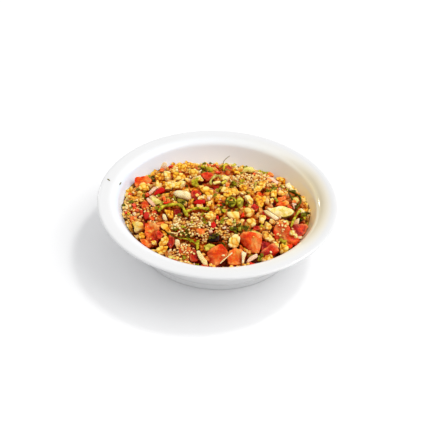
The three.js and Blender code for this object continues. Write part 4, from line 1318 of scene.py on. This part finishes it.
def salad():
    heroes()
    n1 = fill(300, (9.0, 12.0), 201, 6.6, 0.62, (-6.0, -4.2), True)
    n2 = fill(500, (6.5, 9.0), 202, 4.6, 0.60, (-3.8, -1.6), True)
    n3 = fill(1100, (5.6, 8.4), 203, 2.8, 0.55, (-0.8, 1.6))
    n4 = fill(1100, (4.0, 5.8), 204, 2.0, 0.5, (-0.6, 1.4))
    n4 += fill(900, (3.2, 4.4), 205, 1.9, 0.5, (-0.6, 0.8), False, 0.12)
    leaves_by_pixel()
    FIRM.append(H.copy())
    b1 = bits(30, 210, ("green_pepper", "green_pepper", "onion"), (3.0, 5.4), lambda x, y: 1.0)
    b2 = bits(40, 211, ("tomato", "tomato", "red_pepper"), (3.0, 5.2), lambda x, y: 0.1 + weight(x, y, WARM_SPOTS))
    crumb_pool = [make_crumb(g_size, 3, 900 + k) for k, g_size in enumerate(np.linspace(2.4, 3.8, 60))]
    small_pool = [make_crumb(g_size, 2, 1900 + k) for k, g_size in enumerate(np.linspace(1.6, 2.6, 40))]
    grain_pool = [make_grain(g_size, 2, 2900 + k) for k, g_size in enumerate(np.linspace(2.1, 2.9, 24))]

    def warm(x, y, g):
        return float(np.clip(0.62 - 0.5 * weight(x, y, WARM_SPOTS) + g.normal() * 0.16, 0, 1))

    c1 = scatter("nut_crumbs", 110, 301, lambda g: crumb_pool[int(g.integers(60))], 0.5, CRUMB_SPOTS, 0.25, 0.0, 2.2, warm)
    c2 = scatter("nut_crumbs", 80, 302, lambda g: small_pool[int(g.integers(40))], 0.5, CRUMB_SPOTS, 0.15, 0.02, 2.2, warm)
    c3 = scatter("grains", 400, 303, lambda g: grain_pool[int(g.integers(24))], 0.5, GRAIN_SPOTS, 0.02, 0.02, 3.0, warm)
    # crumbs that lie on top of the larger pieces
    g = np.random.default_rng(305)
    for px, py, wx, wy, n, big in ((184, 247, 5, 3, 16, 0), (281, 228, 5, 4, 24, 0), (279, 223, 4, 2.5, 8, 1), (152, 214, 2.0, 5, 22, 1),
                                   (252.6, 238.6, 0.1, 0.1, 1, 1)):
        for _ in range(n):
            c = cast(px + g.normal() * wx * 0.5, py + g.normal() * wy * 0.5, 2.0)
            shape = small_pool[int(g.integers(40))] if big or g.uniform() < 0.4 else grain_pool[int(g.integers(24))]
            a = g.uniform(0, 2 * math.pi)
            p = shape[0] @ frame_on([g.normal() * 0.3, g.normal() * 0.3, 1], [math.cos(a), math.sin(a), 0]).T
            z = drop(p, p[:, 2] < 0, c[0], c[1], 0.4)
            i, j = int((c[0] + SPAN) / CELL), int((c[1] + SPAN) / CELL)
            if n > 1 and z > np.median(FIRM[0][i - 1:i + 2, j - 1:j + 2]) + 1.3:
                continue
            put("nut_crumbs" if big else "grains", (p, shape[1], shape[2]), c[0], c[1], z, np.eye(3), g.uniform(0.1, 0.6), None)
    g = np.random.default_rng(404)
    for _ in range(120):
        x, y = spot(g)
        i, j = int((x + SPAN) / CELL), int((y + SPAN) / CELL)
        if KEEP[i - 4:i + 5, j - 4:j + 5].mean() > 0.2:
            continue
        leaf(x, y, g.uniform(2.6, 4.8), g.uniform(0.2, 0.85), g, 0.5)
    print("filled", n1, n2, n3, n4, "bits", b1, b2, "crumbs", c1, c2, "grains", c3)
    LEVEL.append(local_level())


# ================================================================ materials
class Tree:
    """A short way to write node trees."""

    def __init__(self, name):
        self.mat = bpy.data.materials.new(name)
        self.mat.use_nodes = True
        self.t = self.mat.node_tree
        self.t.nodes.clear()
        self.out = self.t.nodes.new("ShaderNodeOutputMaterial")
        self.bsdf = self.t.nodes.new("ShaderNodeBsdfPrincipled")
        self.t.links.new(self.bsdf.outputs[0], self.out.inputs["Surface"])

    def node(self, kind, inputs=None, **props):
        n = self.t.nodes.new(kind)
        for k, v in props.items():
            setattr(n, k, v)
        for k, v in (inputs or {}).items():
            self.link(v, n.inputs[k])
        return n

    def link(self, v, socket):
        if isinstance(v, bpy.types.NodeSocket):
            self.t.links.new(v, socket)
        else:
            socket.default_value = v

    def math(self, op, a, b=0.0, clamp=False):
        n = self.node("ShaderNodeMath", operation=op, use_clamp=clamp)
        self.link(a, n.inputs[0])
        self.link(b, n.inputs[1])
        return n.outputs[0]

    def ramp(self, fac, stops):
        n = self.node("ShaderNodeValToRGB")
        e = n.color_ramp.elements
        while len(e) < len(stops):
            e.new(0.5)
        for k, (pos, col) in enumerate(stops):
            e[k].position = pos
            e[k].color = (*col, 1)
        self.link(fac, n.inputs[0])
        return n.outputs[0]

    def mix(self, fac, a, b, blend="MIX"):
        n = self.node("ShaderNodeMix", data_type="RGBA", blend_type=blend)
        self.link(fac, n.inputs[0])
        self.link(a if isinstance(a, bpy.types.NodeSocket) else (*a, 1), n.inputs[6])
        self.link(b if isinstance(b, bpy.types.NodeSocket) else (*b, 1), n.inputs[7])
        return n.outputs[2]

    def noise(self, scale, detail=3.0, rough=0.55, coords=None, distort=0.0):
        n = self.node("ShaderNodeTexNoise", {"Scale": scale, "Detail": detail, "Roughness": rough, "Distortion": distort})
        self.link(coords or self.coords(), n.inputs["Vector"])
        return n.outputs["Fac"]

    def coords(self):
        if not hasattr(self, "_co"):
            self._co = self.node("ShaderNodeTexCoord").outputs["Object"]
        return self._co

    def var(self):
        if not hasattr(self, "_var"):
            a = self.node("ShaderNodeAttribute", attribute_name="var")
            s = self.node("ShaderNodeSeparateXYZ")
            self.t.links.new(a.outputs["Vector"], s.inputs[0])
            self._var = s.outputs[0], s.outputs[1], s.outputs[2]
        return self._var

    def painted_gap_shade(self, colour, shade_tint=(0.64, 0.17, 0.012)):
        """Painted shade: darker and redder where the surface lies down in a gap of the heap."""
        a = self.node("ShaderNodeAttribute", attribute_name="deep")
        return self.mix(a.outputs["Fac"], colour, self.mix(1.0, colour, shade_tint, "MULTIPLY"))

    def bump(self, height, strength, distance):
        n = self.node("ShaderNodeBump", {"Strength": strength, "Distance": distance})
        self.link(height, n.inputs["Height"])
        self.t.links.new(n.outputs[0], self.bsdf.inputs["Normal"])

    def set(self, **kw):
        for k, v in kw.items():
            self.link(v, self.bsdf.inputs[k.replace("_", " ")])


def soft_inside(tree, weight_, radius, scale):
    tree.bsdf.inputs["Subsurface Weight"].default_value = weight_
    tree.bsdf.inputs["Subsurface Radius"].default_value = radius
    tree.bsdf.inputs["Subsurface Scale"].default_value = scale


def oiled(tree, weight_=0.35, rough=0.12, level=0.3):
    tree.bsdf.inputs["Coat Weight"].default_value = weight_
    tree.bsdf.inputs["Coat Roughness"].default_value = rough
    tree.bsdf.inputs["Specular IOR Level"].default_value = level


def mat_walnut(name="walnut"):
    t = Tree(name)
    r1, r2, mask = t.var()
    n = t.noise(230, 2)
    # the mask from the lobes: lighter on the breaks, the kernel's own paler inside; darker in the creases and lighter
    # on the domes, a painted shade and a painted highlight
    f = t.math("ADD", t.math("MULTIPLY", mask, 0.72), t.math("MULTIPLY", n, 0.28))
    gold = t.ramp(f, [(0.24, (0.48, 0.13, 0.000)), (0.42, (0.88, 0.37, 0.005)), (0.60, (1.0, 0.59, 0.040)), (0.78, (1.0, 0.77, 0.20))])
    cream = t.ramp(f, [(0.20, (0.68, 0.26, 0.002)), (0.38, (0.98, 0.56, 0.040)), (0.56, (1.0, 0.75, 0.17)), (0.74, (1.0, 0.83, 0.36))])
    amber = t.ramp(f, [(0.24, (0.40, 0.08, 0.000)), (0.44, (0.84, 0.26, 0.001)), (0.62, (1.0, 0.46, 0.006)), (0.82, (1.0, 0.66, 0.07))])
    c = t.mix(t.math("MULTIPLY", t.math("SUBTRACT", r1, 0.42), 2.2, True), gold, cream)
    c = t.mix(t.math("MULTIPLY", t.math("SUBTRACT", 0.34, r1), 3.2, True), c, amber)
    blotch = t.noise(110, 2)
    c = t.mix(t.math("MULTIPLY", t.math("SUBTRACT", blotch, 0.53, True), 6.0, True), c, amber)
    t.set(Base_Color=t.painted_gap_shade(c), Roughness=t.math("ADD", 0.30, t.math("MULTIPLY", n, 0.15)))
    soft_inside(t, 0.10, (1.0, 0.5, 0.2), 0.001)
    oiled(t, 0.03, 0.14, 0.12)
    t.bump(t.noise(520, 2), 0.25, 0.0004)
    return t.mat


def mat_tomato():
    t = Tree("tomato")
    r1, r2, skin = t.var()
    patch = t.noise(135, 2, 0.5)
    n = t.noise(260, 4, 0.6)
    streak = t.noise(620, 3, 0.5, distort=1.2)
    f = t.math("ADD", t.math("MULTIPLY", patch, 0.62), t.math("ADD", t.math("MULTIPLY", n, 0.22), t.math("MULTIPLY", streak, 0.16)))
    flesh = t.ramp(f, [(0.40, (0.82, 0.040, 0.000)), (0.47, (0.98, 0.10, 0.001)), (0.53, (1.0, 0.19, 0.010)), (0.60, (1.0, 0.42, 0.09))])
    red = t.ramp(n, [(0.38, (0.38, 0.006, 0.000)), (0.5, (0.68, 0.018, 0.000)), (0.62, (0.90, 0.07, 0.001))])
    orange = t.ramp(f, [(0.40, (0.94, 0.11, 0.000)), (0.48, (1.0, 0.23, 0.003)), (0.58, (1.0, 0.48, 0.05))])
    # painted highlight: where the mask is below 0, along the cut face's rim and on tipped faces, a lighter salmon; on
    # tipped faces partly paler flesh
    edge = t.math("MULTIPLY", t.math("MULTIPLY", skin, -1.0, True), t.math("MULTIPLY", t.math("SUBTRACT", patch, 0.40, True), 5.0, True))
    skin = t.math("ADD", skin, 0.0, True)
    # the darkest tone, dark red, also goes to pieces that lie in shade: partly the tomato's own colour, partly painted
    # shade
    c = t.mix(t.math("MULTIPLY", t.math("SUBTRACT", 0.30, r1), 4.0, True), flesh, red)
    c = t.mix(t.math("MULTIPLY", t.math("SUBTRACT", r1, 0.62), 1.9, True), c, orange)
    c = t.mix(t.math("MULTIPLY", edge, 0.55), c, (1.0, 0.42, 0.12))
    c = t.mix(skin, c, t.ramp(n, [(0.38, (0.50, 0.008, 0.001)), (0.62, (0.80, 0.035, 0.003))]))
    t.set(Base_Color=t.painted_gap_shade(c, (0.52, 0.09, 0.02)), Roughness=t.math("ADD", 0.22, t.math("MULTIPLY", n, 0.16)))
    soft_inside(t, 0.25, (1.0, 0.2, 0.06), 0.002)
    oiled(t, 0.05, 0.07, 0.12)
    t.bump(t.math("ADD", t.noise(700, 2), t.math("MULTIPLY", t.noise(300, 2), 2.0)), 0.55, 0.0006)
    return t.mat


def mat_red_pepper():
    t = Tree("red_pepper")
    r1, r2, outer = t.var()
    n = t.noise(300, 3)
    outer = t.math("ADD", outer, 0.0, True)
    c = t.ramp(t.math("ADD", t.math("MULTIPLY", n, 0.6), t.math("MULTIPLY", outer, 0.4)),
               [(0.30, (0.64, 0.004, 0.000)), (0.5, (0.86, 0.012, 0.000)), (0.7, (0.98, 0.045, 0.002))])
    pink = t.ramp(n, [(0.3, (0.80, 0.05, 0.03)), (0.7, (0.95, 0.26, 0.14))])
    c = t.mix(t.math("MULTIPLY", t.math("SUBTRACT", r1, 0.78), 2.6, True), c, pink)
    t.set(Base_Color=t.painted_gap_shade(c, (0.50, 0.09, 0.02)), Roughness=t.math("ADD", 0.18, t.math("MULTIPLY", n, 0.12)))
    soft_inside(t, 0.15, (1.0, 0.12, 0.06), 0.0015)
    oiled(t, 0.06, 0.06, 0.12)
    t.bump(t.noise(700, 2), 0.15, 0.0004)
    return t.mat


def mat_green_pepper():
    t = Tree("green_pepper")
    r1, r2, outer = t.var()
    n = t.noise(330, 3)
    dark = t.ramp(n, [(0.38, (0.07, 0.062, 0.001)), (0.5, (0.21, 0.185, 0.003)), (0.62, (0.46, 0.40, 0.012))])
    mid = t.ramp(n, [(0.38, (0.32, 0.26, 0.003)), (0.5, (0.58, 0.49, 0.008)), (0.62, (0.88, 0.74, 0.06))])
    pale = t.ramp(n, [(0.38, (0.82, 0.62, 0.10)), (0.5, (1.0, 0.82, 0.27)), (0.62, (1.0, 0.91, 0.48))])
    outer = t.math("ADD", outer, 0.0, True)
    c = t.mix(t.math("MULTIPLY", t.math("SUBTRACT", r1, 0.12), 3.0, True), dark, mid)
    c = t.mix(t.math("MULTIPLY", t.math("SUBTRACT", r1, 0.55), 2.6, True), c, pale)
    c = t.mix(t.math("MULTIPLY", outer, 0.75), c, t.ramp(n, [(0.38, (0.21, 0.18, 0.002)), (0.5, (0.43, 0.37, 0.006)), (0.62, (0.70, 0.60, 0.025))]))
    t.set(Base_Color=t.painted_gap_shade(c, (0.55, 0.26, 0.02)), Roughness=t.math("ADD", 0.24, t.math("MULTIPLY", n, 0.2)))
    soft_inside(t, 0.2, (0.7, 0.9, 0.2), 0.0015)
    oiled(t, 0.06, 0.1, 0.12)
    t.bump(t.noise(800, 2), 0.25, 0.0004)
    return t.mat


def mat_onion():
    t = Tree("onion")
    r1, r2, outer = t.var()
    n = t.noise(240, 3)
    fine = t.node("ShaderNodeTexWave", {"Scale": 300.0, "Distortion": 6.0, "Detail": 2.0, "Detail Scale": 1.5},
                  wave_type="BANDS", bands_direction="DIAGONAL")
    t.link(t.coords(), fine.inputs["Vector"])
    f = t.math("ADD", t.math("MULTIPLY", n, 0.62), t.math("MULTIPLY", fine.outputs["Fac"], 0.3))
    cream = t.ramp(f, [(0.18, (0.68, 0.43, 0.10)), (0.42, (0.96, 0.76, 0.35)), (0.66, (1.0, 0.92, 0.62))])
    green = t.ramp(f, [(0.18, (0.50, 0.41, 0.02)), (0.45, (0.84, 0.71, 0.11)), (0.75, (1.0, 0.89, 0.40))])
    pink = t.ramp(f, [(0.18, (0.74, 0.24, 0.11)), (0.42, (0.95, 0.60, 0.36)), (0.7, (1.0, 0.88, 0.70))])
    c = t.mix(t.math("MULTIPLY", t.math("SUBTRACT", r1, 0.1), 5.0, True), green, cream)
    c = t.mix(t.math("MULTIPLY", t.math("SUBTRACT", r1, 0.66), 4.0, True), c, pink)
    t.set(Base_Color=t.painted_gap_shade(c), Roughness=t.math("ADD", 0.2, t.math("MULTIPLY", n, 0.18)))
    soft_inside(t, 0.25, (1.0, 0.8, 0.5), 0.0015)
    oiled(t, 0.08, 0.1, 0.16)
    t.bump(fine.outputs["Fac"], 0.12, 0.0004)
    return t.mat


def mat_grain():
    t = Tree("grains")
    r1, r2, up = t.var()
    n = t.noise(900, 3)
    f = t.math("ADD", t.math("MULTIPLY", n, 0.5), t.math("MULTIPLY", r2, 0.5))
    pale = t.ramp(f, [(0.2, (0.78, 0.46, 0.06)), (0.5, (1.0, 0.75, 0.25)), (0.8, (1.0, 0.89, 0.50))])
    warm = t.ramp(f, [(0.2, (0.74, 0.26, 0.02)), (0.5, (0.98, 0.50, 0.10)), (0.8, (1.0, 0.77, 0.36))])
    c = t.mix(t.math("MULTIPLY", t.math("SUBTRACT", 0.5, r1), 3.0, True), pale, warm)
    t.set(Base_Color=t.painted_gap_shade(c), Roughness=0.42)
    soft_inside(t, 0.12, (1.0, 0.6, 0.3), 0.0006)
    oiled(t, 0.05, 0.18, 0.15)
    t.bump(t.noise(2500, 2), 0.2, 0.0002)
    return t.mat


def mat_crumb():
    t = Tree("nut_crumbs")
    r1, r2, mask = t.var()
    n = t.noise(600, 4)
    f = t.math("ADD", t.math("MULTIPLY", mask, 0.35), t.math("ADD", t.math("MULTIPLY", n, 0.35), t.math("MULTIPLY", r2, 0.35)))
    gold = t.ramp(f, [(0.16, (0.40, 0.11, 0.003)), (0.38, (0.82, 0.35, 0.020)), (0.60, (1.0, 0.60, 0.10)), (0.85, (1.0, 0.79, 0.34))])
    warm = t.ramp(f, [(0.16, (0.46, 0.09, 0.003)), (0.38, (0.88, 0.27, 0.014)), (0.62, (1.0, 0.50, 0.07)), (0.85, (1.0, 0.76, 0.28))])
    c = t.mix(t.math("MULTIPLY", t.math("SUBTRACT", 0.42, r1), 3.5, True), gold, warm)
    t.set(Base_Color=t.painted_gap_shade(c), Roughness=t.math("ADD", 0.38, t.math("MULTIPLY", n, 0.2)))
    soft_inside(t, 0.08, (1.0, 0.5, 0.2), 0.0006)
    oiled(t, 0.05, 0.22, 0.15)
    t.bump(t.noise(1800, 3), 0.35, 0.0002)
    return t.mat


def mat_leaf(name="parsley"):
    t = Tree(name)
    r1, r2, mask = t.var()
    n = t.noise(500, 3)
    f = t.math("ADD", t.math("MULTIPLY", n, 0.45), t.math("MULTIPLY", r1, 0.6))
    c = t.ramp(f, [(0.26, (0.062, 0.052, 0.0005)), (0.42, (0.17, 0.148, 0.001)), (0.58, (0.36, 0.31, 0.003)), (0.8, (0.70, 0.59, 0.02))])
    t.set(Base_Color=t.painted_gap_shade(c, (0.55, 0.34, 0.03)), Roughness=t.math("ADD", 0.38, t.math("MULTIPLY", n, 0.25)))
    soft_inside(t, 0.1, (0.5, 0.9, 0.2), 0.0005)
    oiled(t, 0.0, 0.2, 0.08)
    t.bump(t.noise(1300, 3), 0.5, 0.0003)
    return t.mat


def mat_olive():
    t = Tree("olive")
    n = t.noise(500, 3)
    c = t.ramp(n, [(0.35, (0.006, 0.002, 0.001)), (0.55, (0.022, 0.004, 0.003)), (0.7, (0.12, 0.014, 0.010))])
    t.set(Base_Color=c, Roughness=t.math("ADD", 0.28, t.math("MULTIPLY", n, 0.2)))
    oiled(t, 0.05, 0.15, 0.12)
    t.bump(t.noise(900, 2), 0.2, 0.0003)
    return t.mat


def mat_core():
    t = Tree("salad_core")
    cell = t.node("ShaderNodeTexVoronoi", {"Scale": 330.0, "Randomness": 1.0}, feature="F1")
    t.link(t.coords(), cell.inputs["Vector"])
    s = t.node("ShaderNodeSeparateColor")
    t.t.links.new(cell.outputs["Color"], s.inputs[0])
    # the core stands for the salad lower down; its colours are kept dark so that the gaps between the pieces look deep,
    # a painted shade
    c = t.ramp(s.outputs[0], [(0.0, (0.26, 0.03, 0.000)), (0.22, (0.42, 0.10, 0.002)), (0.45, (0.52, 0.19, 0.006)), (0.68, (0.18, 0.08, 0.002)),
                              (0.82, (0.60, 0.27, 0.012)), (0.95, (0.40, 0.025, 0.001))])
    n = t.noise(700, 3)
    t.set(Base_Color=t.painted_gap_shade(c, (0.50, 0.15, 0.02)), Roughness=t.math("ADD", 0.3, t.math("MULTIPLY", n, 0.2)))
    oiled(t, 0.08, 0.15, 0.15)
    t.bump(t.math("ADD", n, cell.outputs["Distance"]), 0.5, 0.0008)
    return t.mat


def mat_glaze():
    t = Tree("glaze")
    n = t.noise(14, 2)
    fine = t.noise(90, 2)
    c = t.ramp(n, [(0.3, (0.775, 0.775, 0.777)), (0.7, (0.795, 0.796, 0.799))])
    # a tan tint on the wall at the right, thicker towards the salad: partly a film of dressing, partly painted warm
    # bounce light from the salad; along its upper edge a painted highlight
    film_and_bounce_tint, edge, well = t.var()
    # painted light: the inner wall made brighter and cooler than the rest of the glaze
    c = t.mix(t.math("MULTIPLY", well, 1.0, True), c, (0.93, 0.962, 0.99))
    smear = t.math("ADD", 0.80, t.math("MULTIPLY", t.noise(38, 3, 0.5, distort=0.8), 0.36))
    c = t.mix(t.math("MULTIPLY", film_and_bounce_tint, smear, True), c, (1.0, 0.84, 0.42))
    # painted shade on the tint's outer part, over the rim at the right; the left wall is painted cooler, against the
    # warm light that the salad throws on it
    c = t.mix(t.math("MULTIPLY", well, -1.0, True), c, (0.48, 0.40, 0.27))
    c = t.mix(t.math("MULTIPLY", edge, -1.0, True), c, (0.76, 0.84, 0.97))
    # painted highlight: a thin bright line along the tint's upper edge
    c = t.mix(t.math("MULTIPLY", edge, 1.0, True), c, (0.93, 0.86, 0.68))
    t.set(Base_Color=c, Roughness=t.math("ADD", 0.075, t.math("MULTIPLY", fine, 0.05)))
    t.bsdf.inputs["IOR"].default_value = 1.52
    t.bump(fine, 0.03, 0.0005)
    return t.mat


def mat_floor():
    t = Tree("pale_floor")
    n = t.noise(3, 2)
    c = t.ramp(n, [(0.3, (0.925, 0.925, 0.93)), (0.7, (0.94, 0.94, 0.945))])
    t.set(Base_Color=c, Roughness=0.7)
    t.bsdf.inputs["Specular IOR Level"].default_value = 0.2
    return t.mat


# ================================================================ the bowl
def bowl_section():
    """The same section as the CAD bowl, with finer steps and rounded corners."""
    rm = (LIP_RADIUS + RIM_RADIUS) / 2
    rz = (LIP_Z + RIM_EDGE_Z) / 2 + RIM_CROWN
    fi = FOOT_RADIUS - FOOT_LAND
    fr, fh = FOOT_RADIUS, FOOT_HEIGHT
    outer = [(0, BASE_RECESS), (fi - 3.4, BASE_RECESS), (fi - 1.1, 1.1), (fi, 0), (fr - 0.5, 0), (fr, 0.6),
             (fr + 0.3, fh - 1.1), (fr - 0.2, fh), (fr + 1.6, fh + 1.1)]
    body = bezier((fr + 1.6, fh + 1.1), (fr + 6.5, fh + 9), (fr + 10, RIM_EDGE_Z - 12), (rm - 4.5, rz - RIM_THICK - 1.6), 14)
    rim = [(rm + 2.5, rz - RIM_THICK), (RIM_RADIUS - 1.6, RIM_EDGE_Z - 1.9), (RIM_RADIUS - 0.3, RIM_EDGE_Z - 0.9),
           (RIM_RADIUS, RIM_EDGE_Z), (RIM_RADIUS - 0.6, RIM_EDGE_Z + 0.8), (RIM_RADIUS - 2.2, RIM_EDGE_Z + 1.2),
           (rm + 2.1, rz + 0.3)]
    well = np.vstack([[[0, WELL_FLOOR_Z - 0.4], [WELL_FLOOR_RADIUS, WELL_FLOOR_Z]],
                      bezier((WELL_FLOOR_RADIUS, WELL_FLOOR_Z), (WELL_FLOOR_RADIUS + 17, WELL_FLOOR_Z + 1.2),
                             (LIP_RADIUS - 10.6, LIP_Z - 20.4), (LIP_RADIUS - 1.6, LIP_Z - 3.4), 16)])
    return np.vstack([outer, body, rim, LIP_ROLL[:-1], well[::-1]])


def soften(points, fixed, rounds=2):
    """Corner cutting, so that the section's corners become small curves. Points on the axis stay."""
    p = np.asarray(points, float)
    for _ in range(rounds):
        a, b = p[:-1], p[1:]
        q = np.empty((2 * len(a), 2))
        q[0::2] = 0.75 * a + 0.25 * b
        q[1::2] = 0.25 * a + 0.75 * b
        p = np.vstack([p[:1], q, p[-1:]])
    return p


def make_bowl():
    sec = bowl_section()
    p = soften(sec, None, 1)
    p = soften(p, None, 1)
    # drop points that lie closer than 0.12 mm to their neighbour
    kept = [p[0]]
    for q in p[1:-1]:
        if np.hypot(*(q - kept[-1])) > 0.35:
            kept.append(q)
    kept.append(p[-1])
    p = np.array(kept)
    p[:, 0] = np.clip(p[:, 0], 0, RIM_RADIUS - 0.01)
    p[:, 1] = np.maximum(p[:, 1], 0.0)
    around = 256
    a = np.linspace(0, 2 * math.pi, around, endpoint=False)
    ring = p[1:-1]
    v = np.concatenate([np.stack([r * np.cos(a), r * np.sin(a), np.full(around, z)], 1) for r, z in ring])
    n = len(ring)
    idx = np.arange(around)
    quads = np.concatenate([np.stack([i * around + idx, i * around + (idx + 1) % around,
                                      (i + 1) * around + (idx + 1) % around, (i + 1) * around + idx], 1) for i in range(n - 1)])
    v = np.vstack([v, [0, 0, p[0, 1]], [0, 0, p[-1, 1]]])
    tris = np.concatenate([np.stack([np.full(around, len(v) - 2), (idx + 1) % around, idx], 1),
                           np.stack([np.full(around, len(v) - 1), (n - 1) * around + idx, (n - 1) * around + (idx + 1) % around], 1)])
    kind = Kind("bowl_glazed")
    kind.v, kind.tri, kind.quad, kind.n = [v], [tris], [quads], len(v)
    # where the tan tint lies, partly a film of dressing and partly painted warm bounce light from the salad, by
    # direction and radius, on the inner side only
    r, turn = np.hypot(v[:, 0], v[:, 1]), np.degrees(np.arctan2(v[:, 1], v[:, 0]))
    inner = np.append(np.repeat(np.arange(n) > np.argmax(ring[:, 1]), around), [False, True])
    film_and_bounce_tint = (np.interp(r, [72, 80, 83, 86.6, 91.4, 95.5], [1, 1, 0.82, 0.62, 0.30, 0])
            * np.interp(turn, [-110, -70, -40, -22, 0, 18, 40, 56, 75, 92], [0, 0.2, 0.6, 0.9, 1, 0.95, 0.48, 0.26, 0.08, 0]) * inner)
    # painted highlight: a thin bright arc along the lip at the right
    line = np.interp(turn, [-30, -17, -10, 0, 16, 24, 32], [84.9, 85.0, 84.4, 83.1, 81.6, 81.1, 80.4])
    edge = np.exp(-((r - line) / 0.55) ** 2) * np.interp(turn, [-36, -24, 20, 34], [0, 0.75, 0.75, 0]) * inner
    # painted shade over the rim at the right
    shade = (np.interp(r, [83.8, 85.6, 86.8, 89, 92, 94.5, 97.5], [0, 0.5, 0.68, 0.49, 0.27, 0.16, 0])
             * np.interp(turn, [-45, -20, 0, 22, 38, 55], [0, 0.6, 1, 0.8, 0.2, 0]) * inner)
    # painted cool cast on the left wall, against the salad's warm bounce light
    left = np.interp(np.abs(turn), [100, 128, 160], [0, 0.5, 1]) * smooth((89 - r) / 6) * inner
    # painted light on the inner wall, less the painted shade at the right
    well = inner * smooth((92 - r) / 8) * (1 - smooth(shade / 0.1)) - shade
    kind.a = [np.stack([film_and_bounce_tint, edge - 0.8 * left, well], 1)]
    return kind


def flecks(kind):
    """Two tiny dark bits of herb stuck to the glaze at the left."""
    for px, py, size in ((108, 179.5, 1.8), (120, 183.3, 2.2)):
        dx, dy = px - 219.0, py - 219.0
        x = math.cos(ROLL) * dx + math.sin(ROLL) * dy
        y = -math.sin(ROLL) * dx + math.cos(ROLL) * dy
        d = AHEAD * FOCAL_PX + RIGHT * (x + 0.5) - UP * (y + 0.5)
        s = np.linspace(600, 1000, 8001)[:, None] / FOCAL_PX
        p = EYE + s * d
        r = np.hypot(p[:, 0], p[:, 1])
        top = wall_height(r)
        k = np.where(p[:, 2] <= top)[0][0]
        radial = unit([p[k, 0], p[k, 1], 0])
        slope = unit(np.append(-radial[:2] * 0.5, 1.0)) if r[k] < 88 else np.array([0, 0, 1.0])
        path = np.stack([np.linspace(-size, size, 7), 0.25 * np.sin(np.linspace(0, 3, 7)), np.zeros(7)], 1)
        v, f, m = make_tube(path, [0.2, 0.36, 0.46, 0.5, 0.44, 0.34, 0.18], 7)
        mtx = frame_on(slope, [0.75, -0.65, 0] if px < 115 else [0.25, 1.0, 0])
        kind.add(v @ mtx.T + p[k] + slope * 0.2, f, m, 0.3, 0.5)


# ================================================================ build
salad()
flecks(K["herb_stems"])
objects = {}
core = make_core().make(mat_core())
objects["salad_core"] = core
materials = {"tomato": mat_tomato(), "red_pepper": mat_red_pepper(), "green_pepper": mat_green_pepper(), "onion": mat_onion(),
             "walnut_halves": mat_walnut("walnut"), "nut_crumbs": mat_crumb(), "grains": mat_grain(), "parsley": mat_leaf("parsley"),
             "herb_stems": mat_leaf("herb_stems"), "olive": mat_olive()}
materials["walnut_pieces"] = materials["walnut_bits"] = materials["walnut_halves"]
total = 0
for name, kind in K.items():
    if not kind.v:
        continue
    objects[name] = kind.make(materials[name])
    total += kind.triangles()
    print(name, kind.triangles())
bowl_kind = make_bowl()
bowl = bowl_kind.make(mat_glaze())
print("bowl", bowl_kind.triangles(), "total", total + bowl_kind.triangles())

for ob in objects.values():
    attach(ob, "root")
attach(bowl, "root")
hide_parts("salad_heap")
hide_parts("bowl")

# ================================================================ stage, light and camera
me = bpy.data.meshes.new("floor")
me.from_pydata([(-40, -40, 0), (40, -40, 0), (40, 40, 0), (-40, 40, 0)], [], [(0, 1, 2, 3)])
floor = bpy.data.objects.new("floor", me)
me.materials.append(mat_floor())
bpy.context.scene.collection.objects.link(floor)
floor.location.z = -0.0001


def sun(name, towards, strength, angle, colour):
    """Parallel light coming from a direction."""
    light = bpy.data.lights.new(name, "SUN")
    light.energy, light.angle, light.color = strength, math.radians(angle), colour
    ob = bpy.data.objects.new(name, light)
    bpy.context.scene.collection.objects.link(ob)
    back = unit(towards)
    x = unit(np.cross([0, 0, 1], back))
    y = np.cross(back, x)
    ob.matrix_world = Matrix([[x[0], y[0], back[0], 0], [x[1], y[1], back[1], 0], [x[2], y[2], back[2], 1], [0, 0, 0, 1]])
    return ob


sun("key", (0.92, 0.08, 1.0), 1.10, 52, (1.0, 0.99, 0.975))
sun("front_fill", (-0.1, -0.9, 1.3), 0.10, 60, (1.0, 0.995, 0.985))
sun("glint", (0.50, 0.50, 1.0), 0.62, 9, (1.0, 0.99, 0.97))
sun("back_light", (-0.50, 0.75, 0.36), 0.10, 6, (1.0, 0.99, 0.97))

world = bpy.data.worlds.new("studio")
bpy.context.scene.world = world
world.use_nodes = True
tree = world.node_tree
sky = tree.nodes["Background"]
sky.inputs[1].default_value = 1.0
# a dome that is bright overhead and dimmer lower down, with a white rim behind the floor's edge
where = tree.nodes.new("ShaderNodeTexCoord")
split = tree.nodes.new("ShaderNodeSeparateXYZ")
tree.links.new(where.outputs["Generated"], split.inputs[0])
dome = tree.nodes.new("ShaderNodeValToRGB")
for k, (pos, v) in enumerate(((0.0, 0.9), (0.09, 0.9), (0.15, 0.36), (0.32, 0.52), (0.62, 0.76), (1.0, 0.82))):
    if k > 1:
        dome.color_ramp.elements.new(pos)
    dome.color_ramp.elements[k].position = pos
    dome.color_ramp.elements[k].color = (v * 0.985, v * 0.99, v, 1)
tree.links.new(split.outputs[2], dome.inputs[0])
tree.links.new(dome.outputs[0], sky.inputs[0])

cam_data = bpy.data.cameras.new("camera")
cam_data.sensor_width = 36.0
cam_data.lens = FOCAL_PX / 438.0 * 36.0
cam_data.clip_start, cam_data.clip_end = 0.05, 20.0
cam = bpy.data.objects.new("camera", cam_data)
bpy.context.scene.collection.objects.link(cam)
right = math.cos(ROLL) * RIGHT + math.sin(ROLL) * UP
up = -math.sin(ROLL) * RIGHT + math.cos(ROLL) * UP
back = -AHEAD
loc = EYE / 1000.0
cam.matrix_world = Matrix([[right[0], up[0], back[0], loc[0]], [right[1], up[1], back[1], loc[1]],
                           [right[2], up[2], back[2], loc[2]], [0, 0, 0, 1]])
bpy.context.scene.camera = cam
bpy.context.scene.view_settings.view_transform = "Standard"
